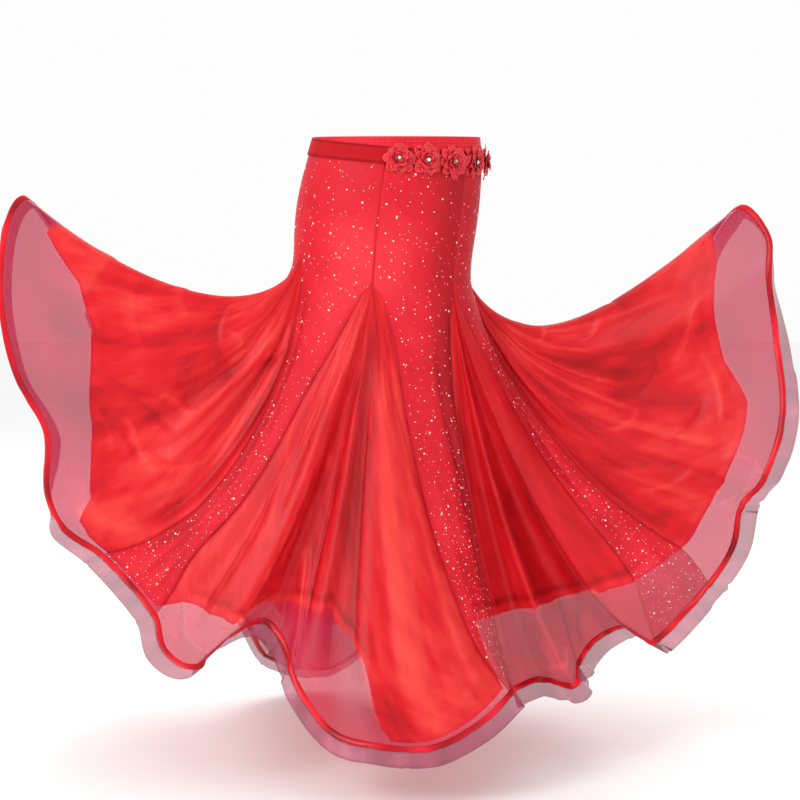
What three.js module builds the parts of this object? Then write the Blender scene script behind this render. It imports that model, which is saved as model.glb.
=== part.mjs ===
// A mermaid-cut belly dance skirt with its floral hip belt, worn and hollow.
// Millimetres, +Z up. The front faces -Y. The origin is the middle of the waistband's top edge.
import * as THREE from 'three';

// ---------- driving dimensions ----------
const clothWall = 1.2;       // every panel
const seamGap = 0.4;         // between neighbouring pieces
const hemGap = 0.6;          // between the cloth's cut edge and its binding
const waistband = { height: 30, wall: 2.4 };
const binding = { width: 8, wall: 2.4 };             // satin strip along the hem
const braid = { width: 26, wall: 1.0, gap: 0.75, behind: 5 };   // sheer strip outside the binding
const lining = { tightInset: 1.8, hemInset: 5, shorter: 136 };
const belt = { height: 28, wall: 1.4, middle: -27, slant: 12, lowestTurn: 65, highest: -1 };
const flower = {
  count: 8, pitch: 46, firstTurn: 3, rise: 3,        // along the belt, and above its middle
  rim: 23, seat: 9, height: 13, dish: 5, petals: 5, notch: 0.22,
};
const stone = { base: 4.5, table: 2.6, height: 3.2, sides: 8 };

// The figure that the tight part is cut for: level, half width, half depth and middle.
const hipSections = table(['z', 'halfWidth', 'halfDepth', 'middleX'], [
  [0, 139, 100, 17],
  [-30, 145, 105, 14],
  [-75, 151, 111, 7],
  [-130, 154, 114, 0],
  [-200, 150, 112, -7],
  [-280, 147, 110, -11],
]);

// Where each godet is let in: the turn of its point round the hips, from the front towards the
// wearer's left, in degrees, and the level of its point.
const godets = table(['name', 'turn', 'pointZ'], [
  ['godet_left', -65, -206],
  ['godet_front', -5, -246],
  ['godet_front_right', 55, -268],
  ['godet_right', 115, -222],
  ['godet_back', 175, -246],
  ['godet_back_left', 235, -226],
]);
// The gores between them, each to the wearer's left of the godet of the same row.
const goreNames = [
  'gore_front_left',
  'gore_front',
  'gore_right',
  'gore_back_right',
  'gore_back',
  'gore_left',
];
const liningNames = godets.map((godet) => godet.name.replace('godet', 'lining'));
const halfGodet = 0.43;      // a godet's half width and a gore's half width share half a station
const stations = godets.length;

// The hem's top line, a row for each crest or trough of its folds. Station 0 is the middle of the
// left godet, 1 the front godet's, and so on round. From its start the cloth first falls, a share
// 'drop' of its length: straight down for a lean of 0, straight at the hem for 1. fold turns the
// braid in behind the cloth, in degrees.
const hemRows = table(['at', 'x', 'y', 'z', 'lean', 'drop', 'fold'], [
  [-0.10, -590, -60, -105, 0.35, 0.30, 180],
  [-0.02, -620, -90, -145, 0.35, 0.30, 180],
  [0.06, -625, -130, -260, 0.35, 0.30, 180],
  [0.15, -600, -150, -380, 0.35, 0.30, 180],
  [0.24, -555, -125, -485, 0.32, 0.30, 180],
  [0.31, -550, -160, -575, 0.25, 0.30, 120],
  [0.37, -520, -190, -630, 0.18, 0.30, 60],
  [0.43, -460, -185, -675, 0.10, 0.30, 0],
  [0.57, -370, -230, -765, 0.75, 0.30, 0],
  [0.63, -350, -265, -815, 0.75, 0.30, 0],
  [0.70, -300, -285, -835, 0.70, 0.30, 0],
  [0.77, -245, -235, -795, 0.60, 0.30, 0],
  [0.83, -200, -195, -780, 0.55, 0.30, 0],
  [0.90, -165, -215, -810, 0.50, 0.30, 0],
  [0.97, -140, -265, -870, 0.45, 0.30, 0],
  [1.06, -85, -305, -935, 0.40, 0.30, 0],
  [1.16, -15, -335, -950, 0.35, 0.30, 0],
  [1.26, 70, -330, -955, 0.35, 0.30, 0],
  [1.35, 145, -300, -925, 0.32, 0.30, 0],
  [1.43, 200, -235, -890, 0.30, 0.30, 0],
  [1.57, 210, -130, -910, 0.30, 0.30, 0],
  [1.65, 255, -80, -905, 0.35, 0.30, 0],
  [1.76, 310, -125, -905, 0.40, 0.30, 0],
  [1.87, 320, -80, -880, 0.45, 0.30, 0],
  [1.98, 345, -35, -855, 0.45, 0.30, 0],
  [2.10, 375, -30, -835, 0.45, 0.30, 0],
  [2.22, 400, -65, -820, 0.45, 0.30, 0],
  [2.33, 420, -115, -825, 0.45, 0.30, 0],
  [2.43, 440, -150, -825, 0.50, 0.30, 0],
  [2.57, 525, -170, -725, 0.35, 0.30, 0],
  [2.64, 565, -145, -670, 0.35, 0.34, 0],
  [2.70, 585, -100, -610, 0.35, 0.38, 0],
  [2.78, 620, -115, -560, 0.34, 0.40, 15],
  [2.87, 652, -95, -455, 0.33, 0.44, 40],
  [2.95, 645, -55, -330, 0.32, 0.48, 60],
  [3.01, 630, -65, -235, 0.30, 0.50, 85],
  [3.06, 630, -45, -165, 0.30, 0.50, 115],
  [3.12, 590, 0, -120, 0.30, 0.50, 120],
  [3.20, 540, 55, -195, 0.30, 0.45, 60],
  [3.28, 530, 115, -305, 0.30, 0.40, 0],
  [3.43, 520, 150, -480, 0.35, 0.30, 0],
  [3.57, 465, 215, -610, 0.40, 0.30, 0],
  [3.65, 430, 290, -700, 0.40, 0.30, 0],
  [3.74, 375, 230, -715, 0.40, 0.30, 0],
  [3.83, 305, 310, -805, 0.40, 0.30, 0],
  [3.92, 240, 380, -865, 0.40, 0.30, 0],
  [4.01, 170, 310, -845, 0.40, 0.30, 0],
  [4.10, 110, 345, -895, 0.40, 0.30, 0],
  [4.19, 50, 430, -960, 0.40, 0.30, 0],
  [4.28, -5, 355, -920, 0.40, 0.30, 0],
  [4.43, -115, 420, -1005, 0.40, 0.30, 0],
  [4.57, -230, 370, -970, 0.40, 0.30, 0],
  [4.64, -265, 300, -880, 0.40, 0.30, 0],
  [4.80, -360, 385, -820, 0.40, 0.30, 0],
  [4.96, -410, 245, -710, 0.40, 0.30, 0],
  [5.07, -445, 290, -690, 0.40, 0.30, 0],
  [5.25, -470, 165, -550, 0.40, 0.30, 0],
  [5.34, -480, 205, -500, 0.40, 0.30, 0],
  [5.43, -480, 150, -450, 0.40, 0.30, 0],
  [5.57, -490, 110, -340, 0.40, 0.30, 0],
  [5.66, -500, 95, -285, 0.40, 0.30, 90],
  [5.76, -535, 40, -210, 0.35, 0.30, 180],
]);

// How the cloth comes to the hem, as shares of the level and upright distances.
const hang = { reach: 0.38, climb: 0.25, sag: 0.27 };
const longestMitre = 2;      // how far a wall's corner may reach at a sharp fold, against its offset

// Fineness of the faceted walls.
const godetColumns = 12;
const goreColumns = 6;
const bodyLevels = 3;                            // steps from the waistband to the godet points
const flareSteps = [0, 0.1, 0.25, 0.42, 0.6, 0.8, 1];
const liningSteps = 5;                           // flare steps that the lining shares before its edge
const curveParts = 40;                           // for measuring along a flare curve
const turnStep = 0.5;                            // for walking along the belt, in degrees

// ---------- small helpers ----------
function table(columns, rows) {
  return rows.map((row) => Object.fromEntries(columns.map((name, i) => [name, row[i]])));
}

const up = new THREE.Vector3(0, 0, 1);
const radians = THREE.MathUtils.degToRad;
const lerp = THREE.MathUtils.lerp;

function between(a, b, share) {
  return a.clone().lerp(b, share);
}

function moved(point, direction, distance) {
  return point.clone().addScaledVector(direction, distance);
}

// A smooth curve through rows: a cubic whose slope at each row is that of its two neighbours.
function smooth(rows, key, name, at) {
  const last = rows.length - 2;
  const rising = rows[1][key] > rows[0][key];
  const passed = (row) => (rising ? row[key] >= at : row[key] <= at);
  const found = rows.slice(1, last + 1).findIndex(passed);
  const i = found < 0 ? last : found;
  const slope = (n) => {
    const low = rows[Math.max(n - 1, 0)];
    const high = rows[Math.min(n + 1, rows.length - 1)];
    return (high[name] - low[name]) / (high[key] - low[key]);
  };
  const step = rows[i + 1][key] - rows[i][key];
  const s = (at - rows[i][key]) / step;
  return (2 * s ** 3 - 3 * s ** 2 + 1) * rows[i][name]
    + (s ** 3 - 2 * s ** 2 + s) * slope(i) * step
    + (3 * s ** 2 - 2 * s ** 3) * rows[i + 1][name]
    + (s ** 3 - s ** 2) * slope(i + 1) * step;
}

// ---------- the hip form ----------
function hipPoint(turn, z) {
  const angle = radians(turn);
  return new THREE.Vector3(
    smooth(hipSections, 'z', 'middleX', z) + smooth(hipSections, 'z', 'halfWidth', z) * Math.sin(angle),
    -smooth(hipSections, 'z', 'halfDepth', z) * Math.cos(angle),
    z,
  );
}

function hipNormal(turn, z) {
  const round = hipPoint(turn + 1, z).sub(hipPoint(turn - 1, z));
  const down = hipPoint(turn, z - 1).sub(hipPoint(turn, z + 1));
  return down.cross(round).normalize();
}

// ---------- the flared part ----------
const closedHem = [-1, 0, 1].flatMap(
  (lap) => hemRows.map((row) => ({ ...row, at: row.at + lap * stations })),
);

function hemValue(name, station) {
  return smooth(closedHem, 'at', name, station);
}

function hemPoint(station) {
  return new THREE.Vector3(hemValue('x', station), hemValue('y', station), hemValue('z', station));
}

function godetAt(index) {
  const wrapped = (index + stations) % stations;
  const laps = Math.floor(index / stations);
  return { ...godets[wrapped], turn: godets[wrapped].turn + 360 * laps };
}

// Turn and level where the flare starts at a station: a godet's point, or a line between two.
function flareStart(station) {
  const index = Math.floor(station + halfGodet);
  const share = Math.max((station - index - halfGodet) / (1 - 2 * halfGodet), 0);
  const from = godetAt(index);
  const to = godetAt(index + 1);
  return { turn: lerp(from.turn, to.turn, share), z: lerp(from.pointZ, to.pointZ, share) };
}

// One line of cloth from the flare's start to the hem: first down, then out, sagging on the way.
function flareCurve(station) {
  const { turn, z } = flareStart(station);
  const start = hipPoint(turn, z);
  const hem = hemPoint(station);
  const span = hem.clone().sub(start);
  const length = span.length();
  const level = Math.hypot(span.x, span.y);
  const down = up.clone().negate();
  const first = down.lerp(span.clone().normalize(), hemValue('lean', station)).normalize();
  const second = new THREE.Vector3(
    hem.x - hang.reach * span.x,
    hem.y - hang.reach * span.y,
    hem.z - hang.climb * span.z - hang.sag * level,
  );
  const drop = hemValue('drop', station) * length;
  return new THREE.CubicBezierCurve3(start, moved(start, first, drop), second, hem);
}

// ---------- points of the whole skirt ----------
// Every column has its station, its turn, the points of the flare and the outward normals there.
const columnStations = [];
for (let k = 0; k < stations; k += 1) {
  for (let i = 0; i < godetColumns; i += 1) {
    columnStations.push(k - halfGodet + (2 * halfGodet * i) / godetColumns);
  }
  for (let i = 0; i < goreColumns; i += 1) {
    columnStations.push(k + halfGodet + ((1 - 2 * halfGodet) * i) / goreColumns);
  }
}
const columns = columnStations.map((station) => {
  const curve = flareCurve(station);
  return { station, ...flareStart(station), points: flareSteps.map((step) => curve.getPoint(step)) };
});
const total = columns.length;
const columnAt = (index) => columns[((index % total) + total) % total];

// The direction midway between those of two steps of a line, and how much further a mitre reaches
// there than a square offset does.
function turnAt(before, here, after) {
  const into = here.clone().sub(before).normalize();
  const onward = after.clone().sub(here).normalize();
  const sum = into.add(onward);
  const mitre = Math.min(2 / sum.length(), longestMitre);
  return { direction: sum.normalize(), mitre };
}

columns.forEach((column, c) => {
  const lastStep = flareSteps.length - 1;
  const roundAt = (r) => turnAt(columnAt(c - 1).points[r], column.points[r], columnAt(c + 1).points[r]);
  column.normals = column.points.map((point, r) => {
    if (r === 0) return hipNormal(column.turn, column.z);
    const down = r === lastStep
      ? point.clone().sub(column.points[r - 1])
      : turnAt(column.points[r - 1], point, column.points[r + 1]).direction;
    const round = roundAt(r);
    return down.cross(round.direction).normalize().multiplyScalar(round.mitre);
  });
  column.hemTurn = roundAt(lastStep);
});
const perStation = godetColumns + goreColumns;
const godetFirst = (k) => k * perStation;
const goreFirst = (k) => k * perStation + godetColumns;

// A spot is a point of the cloth's middle surface with its outward normal.
const spot = (point, normal) => ({ point, normal });

function bodySpots(column, inset) {
  return Array.from({ length: bodyLevels }, (_, i) => {
    const z = lerp(-waistband.height - seamGap, column.z, i / bodyLevels);
    const normal = hipNormal(column.turn, z);
    return spot(moved(hipPoint(column.turn, z), normal, -inset), normal);
  });
}

function flareSpots(column) {
  return column.points.map((point, r) => spot(point, column.normals[r]));
}

// ---------- walls ----------
const materials = {};
function material(name, color, roughness, opacity = 1) {
  materials[name] = { color, roughness, opacity };
}
material('knit', 0xd8282f, 0.55);
material('organza', 0xe9423f, 0.3, 0.8);
material('lining', 0xd8222a, 0.5);
material('satin', 0xc81420, 0.3);
material('braid', 0xb7728a, 0.4, 0.6);
material('band', 0xa01018, 0.8);
material('petals', 0xb81822, 0.6);
material('stone', 0xf4f0e8, 0.05);

const costume = new THREE.Group();

function addPiece(name, finish, triangles) {
  const geometry = new THREE.BufferGeometry();
  geometry.setAttribute('position', new THREE.Float32BufferAttribute(triangles.flat(2), 3));
  geometry.computeVertexNormals();
  const look = materials[finish];
  const mesh = new THREE.Mesh(geometry, new THREE.MeshStandardMaterial({
    color: look.color,
    roughness: look.roughness,
    metalness: 0,
    opacity: look.opacity,
    transparent: look.opacity < 1,
    side: THREE.DoubleSide,
  }));
  mesh.name = name;
  costume.add(mesh);
}

// Two triangles for the corners a, b, c, d in order, without the ones that have no area.
function quad(a, b, c, d) {
  const same = (p, q) => p.distanceToSquared(q) < 1e-8;
  const whole = ([p, q, r]) => !same(p, q) && !same(q, r) && !same(r, p);
  return [[a, b, c], [a, c, d]].filter(whole).map((corners) => corners.map((p) => p.toArray()));
}

// A closed wall on a grid of spots: rows run down, columns run round towards +turn at the front.
function panelWall(grid, wall) {
  const outer = grid.map((row) => row.map((s) => moved(s.point, s.normal, wall / 2)));
  const inner = grid.map((row) => row.map((s) => moved(s.point, s.normal, -wall / 2)));
  const rows = grid.length - 1;
  const cols = grid[0].length - 1;
  const triangles = [];
  for (let r = 0; r < rows; r += 1) {
    for (let c = 0; c < cols; c += 1) {
      triangles.push(...quad(outer[r][c], outer[r + 1][c], outer[r + 1][c + 1], outer[r][c + 1]));
      triangles.push(...quad(inner[r][c], inner[r][c + 1], inner[r + 1][c + 1], inner[r + 1][c]));
    }
    triangles.push(...quad(outer[r][0], inner[r][0], inner[r + 1][0], outer[r + 1][0]));
    triangles.push(...quad(outer[r][cols], outer[r + 1][cols], inner[r + 1][cols], inner[r][cols]));
  }
  for (let c = 0; c < cols; c += 1) {
    triangles.push(...quad(outer[0][c], outer[0][c + 1], inner[0][c + 1], inner[0][c]));
    triangles.push(...quad(outer[rows][c], inner[rows][c], inner[rows][c + 1], outer[rows][c + 1]));
  }
  return triangles;
}

// A closed ring: each column has four corners, outer top, outer bottom, inner bottom, inner top.
// The inner face is split along the outer one's diagonals, so a twisted wall keeps its thickness.
function ringWall(sections) {
  return sections.flatMap(([outerTop, outerBottom, innerBottom, innerTop], c) => {
    const next = sections[(c + 1) % sections.length];
    return [
      ...quad(outerTop, outerBottom, next[1], next[0]),
      ...quad(outerBottom, innerBottom, next[2], next[1]),
      ...quad(innerTop, next[3], next[2], innerBottom),
      ...quad(innerTop, outerTop, next[0], next[3]),
    ];
  });
}

// Draws the first and last columns in by half a seam's gap.
function openSeams(grid) {
  return grid.map((row) => {
    const last = row.length - 1;
    const drawn = (from, to) => {
      const side = to.point.clone().sub(from.point);
      const isPoint = side.length() < seamGap;
      return isPoint ? from : spot(moved(from.point, side.normalize(), seamGap / 2), from.normal);
    };
    return row.map((s, c) => {
      if (c === 0) return drawn(s, row[1]);
      return c === last ? drawn(s, row[last - 1]) : s;
    });
  });
}

const transpose = (lines) => lines[0].map((_, r) => lines.map((line) => line[r]));

// ---------- gores and godets ----------
function goreGrid(k) {
  const lines = Array.from({ length: goreColumns + 1 }, (_, i) => {
    const isEnd = i === goreColumns;
    const column = columnAt(goreFirst(k) + i);
    const place = isEnd ? { ...column, turn: godetAt(k + 1).turn } : column;
    return [...bodySpots(place, 0), ...flareSpots(column)];
  });
  return transpose(lines);
}

// The godet's point sits a little below the seam's, where the gores have parted by two gaps.
function godetGrid(k) {
  const lineAt = (i) => flareSpots(columnAt(godetFirst(k) + i));
  const lines = Array.from({ length: godetColumns + 1 }, (_, i) => lineAt(i));
  const [left, right] = [lines[0][1].point, lines[godetColumns][1].point];
  const share = (2 * seamGap) / left.distanceTo(right);
  const point = between(lines[0][0].point, between(left, right, 0.5), share);
  return transpose(lines.map((line) => [spot(point, line[0].normal), ...line.slice(1)]));
}

goreNames.forEach((name, k) => {
  addPiece(name, 'knit', panelWall(openSeams(goreGrid(k)), clothWall));
});
godets.forEach((godet, k) => {
  addPiece(godet.name, 'organza', panelWall(openSeams(godetGrid(k)), clothWall));
});

// ---------- lining ----------
// The share of the flare curve where the rest of its length is what the lining is short of.
function liningEnd(station) {
  const lengths = flareCurve(station).getLengths(curveParts);
  const wanted = lengths.at(-1) - lining.shorter;
  return lengths.findIndex((length) => length > wanted) / curveParts;
}

// The lining lies close under the hips and hangs freer towards its edge.
function liningFlare(column) {
  const end = liningEnd(column.station);
  const low = flareSteps.findLastIndex((step) => step < end);
  const share = (end - flareSteps[low]) / (flareSteps[low + 1] - flareSteps[low]);
  const edge = spot(
    between(column.points[low], column.points[low + 1], share),
    between(column.normals[low], column.normals[low + 1], share),
  );
  const spots = [...flareSpots(column).slice(0, liningSteps), edge];
  return spots.map(({ point, normal }, r) => {
    const inset = lerp(lining.tightInset, lining.hemInset, r / liningSteps);
    return spot(moved(point, normal, -inset), normal);
  });
}

liningNames.forEach((name, k) => {
  const first = godetFirst(k) - goreColumns / 2;
  const lines = Array.from({ length: godetColumns + goreColumns + 1 }, (_, i) => {
    const column = columnAt(first + i);
    return [...bodySpots(column, lining.tightInset), ...liningFlare(column)];
  });
  addPiece(name, 'lining', panelWall(openSeams(transpose(lines)), clothWall));
});

// ---------- hem: binding and braid ----------
// At the hem: out of the cloth, square down from the hem's line, and on down the cloth.
function hemFrame(column) {
  const last = column.points.length - 1;
  const normal = column.normals[last].clone().normalize();
  const square = column.hemTurn.direction.clone().cross(normal).normalize();
  const onward = column.points[last].clone().sub(column.points[last - 1]);
  onward.addScaledVector(normal, -onward.dot(normal)).normalize();
  const edge = moved(column.points[last], square, hemGap * column.hemTurn.mitre);
  return { edge, square, onward, normal };
}

function strip(top, along, across, width, wall) {
  const bottom = moved(top, along, width);
  return [
    moved(top, across, wall / 2),
    moved(bottom, across, wall / 2),
    moved(bottom, across, -wall / 2),
    moved(top, across, -wall / 2),
  ];
}

addPiece('hem_binding', 'satin', ringWall(columns.map((column) => {
  const { edge, square, normal } = hemFrame(column);
  return strip(edge, square, normal, binding.width, binding.wall);
})));

addPiece('hem_braid', 'braid', ringWall(columns.map((column) => {
  const { edge, square, onward, normal } = hemFrame(column);
  const fold = radians(THREE.MathUtils.clamp(hemValue('fold', column.station), 0, 180));
  const behind = braid.behind * (1 - Math.cos(fold)) / 2;
  const along = onward.clone().multiplyScalar(Math.cos(fold)).addScaledVector(normal, -Math.sin(fold));
  const across = normal.clone().multiplyScalar(Math.cos(fold)).addScaledVector(onward, Math.sin(fold));
  const top = moved(moved(edge, square, binding.width + braid.gap), normal, -behind);
  return strip(top, along, across, braid.width, braid.wall);
})));

// ---------- waistband and belt ----------
const isGoreColumn = (column, c) => c % perStation >= godetColumns;
const ringTurns = columns.filter(isGoreColumn).map((column) => column.turn);

function hipRing(topAt, bottomAt, clearance, wall) {
  return ringWall(ringTurns.map((turn) => {
    const [top, bottom] = [topAt(turn), bottomAt(turn)];
    const corner = (z, out) => moved(hipPoint(turn, z), hipNormal(turn, z), out);
    return [
      corner(top, clearance + wall),
      corner(bottom, clearance + wall),
      corner(bottom, clearance),
      corner(top, clearance),
    ];
  }));
}

addPiece('waistband', 'knit', hipRing(
  () => 0,
  () => -waistband.height,
  -waistband.wall / 2,
  waistband.wall,
));

const beltMiddle = (turn) => belt.middle - belt.slant * Math.cos(radians(turn - belt.lowestTurn));
const beltClearance = waistband.wall / 2 + seamGap;
addPiece('belt_band', 'band', hipRing(
  (turn) => Math.min(beltMiddle(turn) + belt.height / 2, belt.highest),
  (turn) => beltMiddle(turn) - belt.height / 2,
  beltClearance,
  belt.wall,
));

// Turns at even lengths of the belt, counted from the front to the wearer's left.
function turnsAlongBelt(count, pitch, firstTurn) {
  const found = [firstTurn];
  let walked = 0;
  for (let turn = firstTurn; found.length < count; turn += turnStep) {
    walked += hipPoint(turn, belt.middle).distanceTo(hipPoint(turn + turnStep, belt.middle));
    if (walked >= pitch) {
      walked = 0;
      found.push(turn + turnStep);
    }
  }
  return found;
}

// A round body about an axis: rows of rings, each with its radius and height, closed at both ends.
function roundBody(rings, sides, place) {
  const ringPoint = (ring, i) => {
    const angle = (2 * Math.PI * i) / sides;
    const notch = (ring.notch ?? 0) * (1 + Math.cos(flower.petals * angle)) / 2;
    const radius = ring.radius * (1 - notch);
    return place(radius * Math.cos(angle), radius * Math.sin(angle), ring.height);
  };
  const triangles = [];
  for (let i = 0; i < sides; i += 1) {
    rings.slice(1).forEach((ring, r) => {
      const [low, lowNext] = [ringPoint(rings[r], i), ringPoint(rings[r], i + 1)];
      triangles.push(...quad(low, lowNext, ringPoint(ring, i + 1), ringPoint(ring, i)));
    });
  }
  return triangles;
}

const flowerRings = [
  { radius: 0, height: 0 },
  { radius: flower.seat, height: 0 },
  { radius: flower.rim, height: flower.height, notch: flower.notch },
  { radius: stone.base + 2 * seamGap, height: flower.dish },
  { radius: 0, height: flower.dish },
];
const stoneRings = [
  { radius: 0, height: 0 },
  { radius: stone.base, height: 0 },
  { radius: stone.table, height: stone.height },
  { radius: 0, height: stone.height },
];

const flowerSides = flower.petals * 3;
turnsAlongBelt(flower.count, flower.pitch, flower.firstTurn).forEach((turn, i) => {
  const z = beltMiddle(turn) + flower.rise;
  const normal = hipNormal(turn, z);
  const side = up.clone().cross(normal).normalize();
  const foot = moved(hipPoint(turn, z), normal, beltClearance + belt.wall + seamGap);
  const lift = normal.clone().cross(side);
  const place = (seat) => (x, y, out) => {
    return moved(moved(moved(foot, side, x), lift, y), normal, out + seat);
  };
  const stonePlace = place(flower.dish + seamGap);
  addPiece(`flower_${i + 1}`, 'petals', roundBody(flowerRings, flowerSides, place(0)));
  addPiece(`rhinestone_${i + 1}`, 'stone', roundBody(stoneRings, stone.sides, stonePlace));
});

export default costume;
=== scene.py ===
# %% [markdown]
# # A flared dance skirt with a floral hip belt
# The skirt is cut like a mermaid's tail. Six gores of sparkling knit run from the waist to the hem,
# and a wide fan of organza, a godet, is let in between each two. A shorter lining hangs inside.
# The script builds every sheet of cloth from one form, so that the seams meet by themselves.

# %% Load the frame
import bpy
import numpy as np
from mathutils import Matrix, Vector


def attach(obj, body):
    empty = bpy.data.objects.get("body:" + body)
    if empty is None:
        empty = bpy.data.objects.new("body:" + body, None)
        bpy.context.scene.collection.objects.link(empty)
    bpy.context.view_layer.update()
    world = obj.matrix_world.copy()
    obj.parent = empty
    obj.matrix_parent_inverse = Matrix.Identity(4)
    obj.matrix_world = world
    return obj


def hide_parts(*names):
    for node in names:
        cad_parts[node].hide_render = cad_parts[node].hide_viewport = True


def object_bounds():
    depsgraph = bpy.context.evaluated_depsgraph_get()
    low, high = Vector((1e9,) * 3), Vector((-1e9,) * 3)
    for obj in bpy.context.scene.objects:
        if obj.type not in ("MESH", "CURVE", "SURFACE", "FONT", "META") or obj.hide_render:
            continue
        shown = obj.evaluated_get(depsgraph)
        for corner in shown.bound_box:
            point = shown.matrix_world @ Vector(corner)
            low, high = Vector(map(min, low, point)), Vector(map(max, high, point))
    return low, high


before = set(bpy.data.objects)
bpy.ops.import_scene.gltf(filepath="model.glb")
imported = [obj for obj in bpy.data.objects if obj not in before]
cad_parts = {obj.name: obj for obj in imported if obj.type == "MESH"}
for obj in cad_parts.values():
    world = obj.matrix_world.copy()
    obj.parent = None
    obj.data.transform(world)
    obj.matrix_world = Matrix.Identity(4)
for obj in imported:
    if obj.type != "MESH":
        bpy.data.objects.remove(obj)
cad_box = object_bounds()
MM = 0.001
BODY = "root"
print("frame:", len(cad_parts), "nodes")

# %% [markdown]
# ## Camera, floor and light
# The camera comes first, because every fold is judged through it. It looks slightly down at the
# skirt from some way off. A short lens from close by would frame it as well, but it would stretch
# the sides that swing forward, so the lens is long.

# %% Camera
CAMERA_PLACE = Vector((0.022, -3.6, -0.06))
CAMERA_TARGET = Vector((0.022, 0.0, -0.444))
CAMERA_LENS = 95.83
camera = bpy.data.objects.new("camera", bpy.data.cameras.new("camera"))
camera.data.lens = CAMERA_LENS
camera.location = CAMERA_PLACE
camera.rotation_euler = (CAMERA_TARGET - CAMERA_PLACE).to_track_quat("-Z", "Y").to_euler()
bpy.context.scene.collection.objects.link(camera)
bpy.context.scene.camera = camera
print("camera lens:", camera.data.lens)

# %% [markdown]
# The skirt stands over a plain pale floor. A studio sweep, a floor that turns up into a wall, would
# hide its far edge from one side only. One flat square looks nearly the same from every side, and
# the pale world shows beyond it.

# %% Floor
FLOOR_BELOW = 0.022        # the skirt hangs this far clear of the floor
FLOOR_REACH = 9.0
FLOOR_GREY, FLOOR_ROUGHNESS = 0.93, 0.9
floor_material = bpy.data.materials.new("pale_floor")
floor_material.use_nodes = True
shader = floor_material.node_tree.nodes["Principled BSDF"]
shader.inputs["Base Color"].default_value = (FLOOR_GREY, FLOOR_GREY, FLOOR_GREY, 1)
shader.inputs["Roughness"].default_value = FLOOR_ROUGHNESS
floor_mesh = bpy.data.meshes.new("floor")
floor_level = cad_box[0].z - FLOOR_BELOW
corners = [(-1, -1), (1, -1), (1, 1), (-1, 1)]
floor_mesh.from_pydata(
    [(FLOOR_REACH * x, FLOOR_REACH * y, floor_level) for x, y in corners], [], [(0, 1, 2, 3)]
)
floor = bpy.data.objects.new("floor", floor_mesh)
floor_mesh.materials.append(floor_material)
bpy.context.scene.collection.objects.link(floor)
print("floor at", round(floor_level, 3), "m")

# %% [markdown]
# Sheer cloth needs light from all round, or the far layers go black. More lamps could give that,
# but each would add its own shadows. A pale world has none, and three large soft lamps, the
# strongest at the front left and above, draw the folds.


# %% Lights
MIDDLE = (0.02, 0.0, -0.5)
WORLD_STRENGTH = 0.98


def soft_lamp(name, place, size, watts):
    """A square lamp that looks at the middle of the skirt."""
    lamp = bpy.data.lights.new(name, "AREA")
    lamp.energy, lamp.size = watts, size
    holder = bpy.data.objects.new(name, lamp)
    holder.location = place
    aim = Vector(MIDDLE) - Vector(place)
    holder.rotation_euler = aim.to_track_quat("-Z", "Y").to_euler()
    bpy.context.scene.collection.objects.link(holder)


soft_lamp("key", (-2.3, -2.6, 1.4), 1.5, 71)
soft_lamp("fill", (2.6, -2.4, 0.0), 2.2, 13)
soft_lamp("back", (0.6, 2.6, 1.6), 1.8, 36)
world = bpy.data.worlds.new("studio")
world.use_nodes = True
sky = world.node_tree.nodes["Background"]
sky.inputs["Color"].default_value = (1, 1, 1, 1)
sky.inputs["Strength"].default_value = WORLD_STRENGTH
bpy.context.scene.world = world
bpy.context.scene.view_settings.view_transform = "Standard"
bpy.context.scene.cycles.transparent_max_bounces = 32
print("lamps: 3")

# %% [markdown]
# ## Sizes of the skirt
# These tables are the pattern. The hips are ovals, given by level. The godets are let in at even
# turns round them. The hem is a closed line in space, with a row for each crest or trough of its
# folds. Sculpting could give such a form too, but a table can be read, measured and changed. All
# sizes are in millimetres until a mesh is made.


# %% Tables
def table(names, rows):
    values = np.array(rows, float)
    return {name: values[:, i] for i, name in enumerate(names)}


hips = table(("z", "half_width", "half_depth", "middle_x"), [
    (-280, 147, 110, -11),
    (-200, 150, 112, -7),
    (-130, 154, 114, 0),
    (-75, 151, 111, 7),
    (-30, 145, 105, 14),
    (0, 139, 100, 17),
])

GODETS = ("left", "front", "front_right", "right", "back", "back_left")
GORES = ("front_left", "front", "right", "back_right", "back", "left")
godet_turn = np.array([-65, -5, 55, 115, 175, 235], float)
godet_point = np.array([-206, -246, -268, -222, -246, -226], float)
HALF_GODET = 0.43
STATIONS = 6
print("godets:", len(GODETS), "gores:", len(GORES))

# %% [markdown]
# The hem's row says where its line runs, how steeply the cloth leaves the hips (`lean`), how long
# it keeps that direction (`drop`) and how far the stiff braid is turned in behind it (`fold`, in
# degrees). Station 0 is the middle of the left godet, 1 that of the front one, and so on round.

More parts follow.
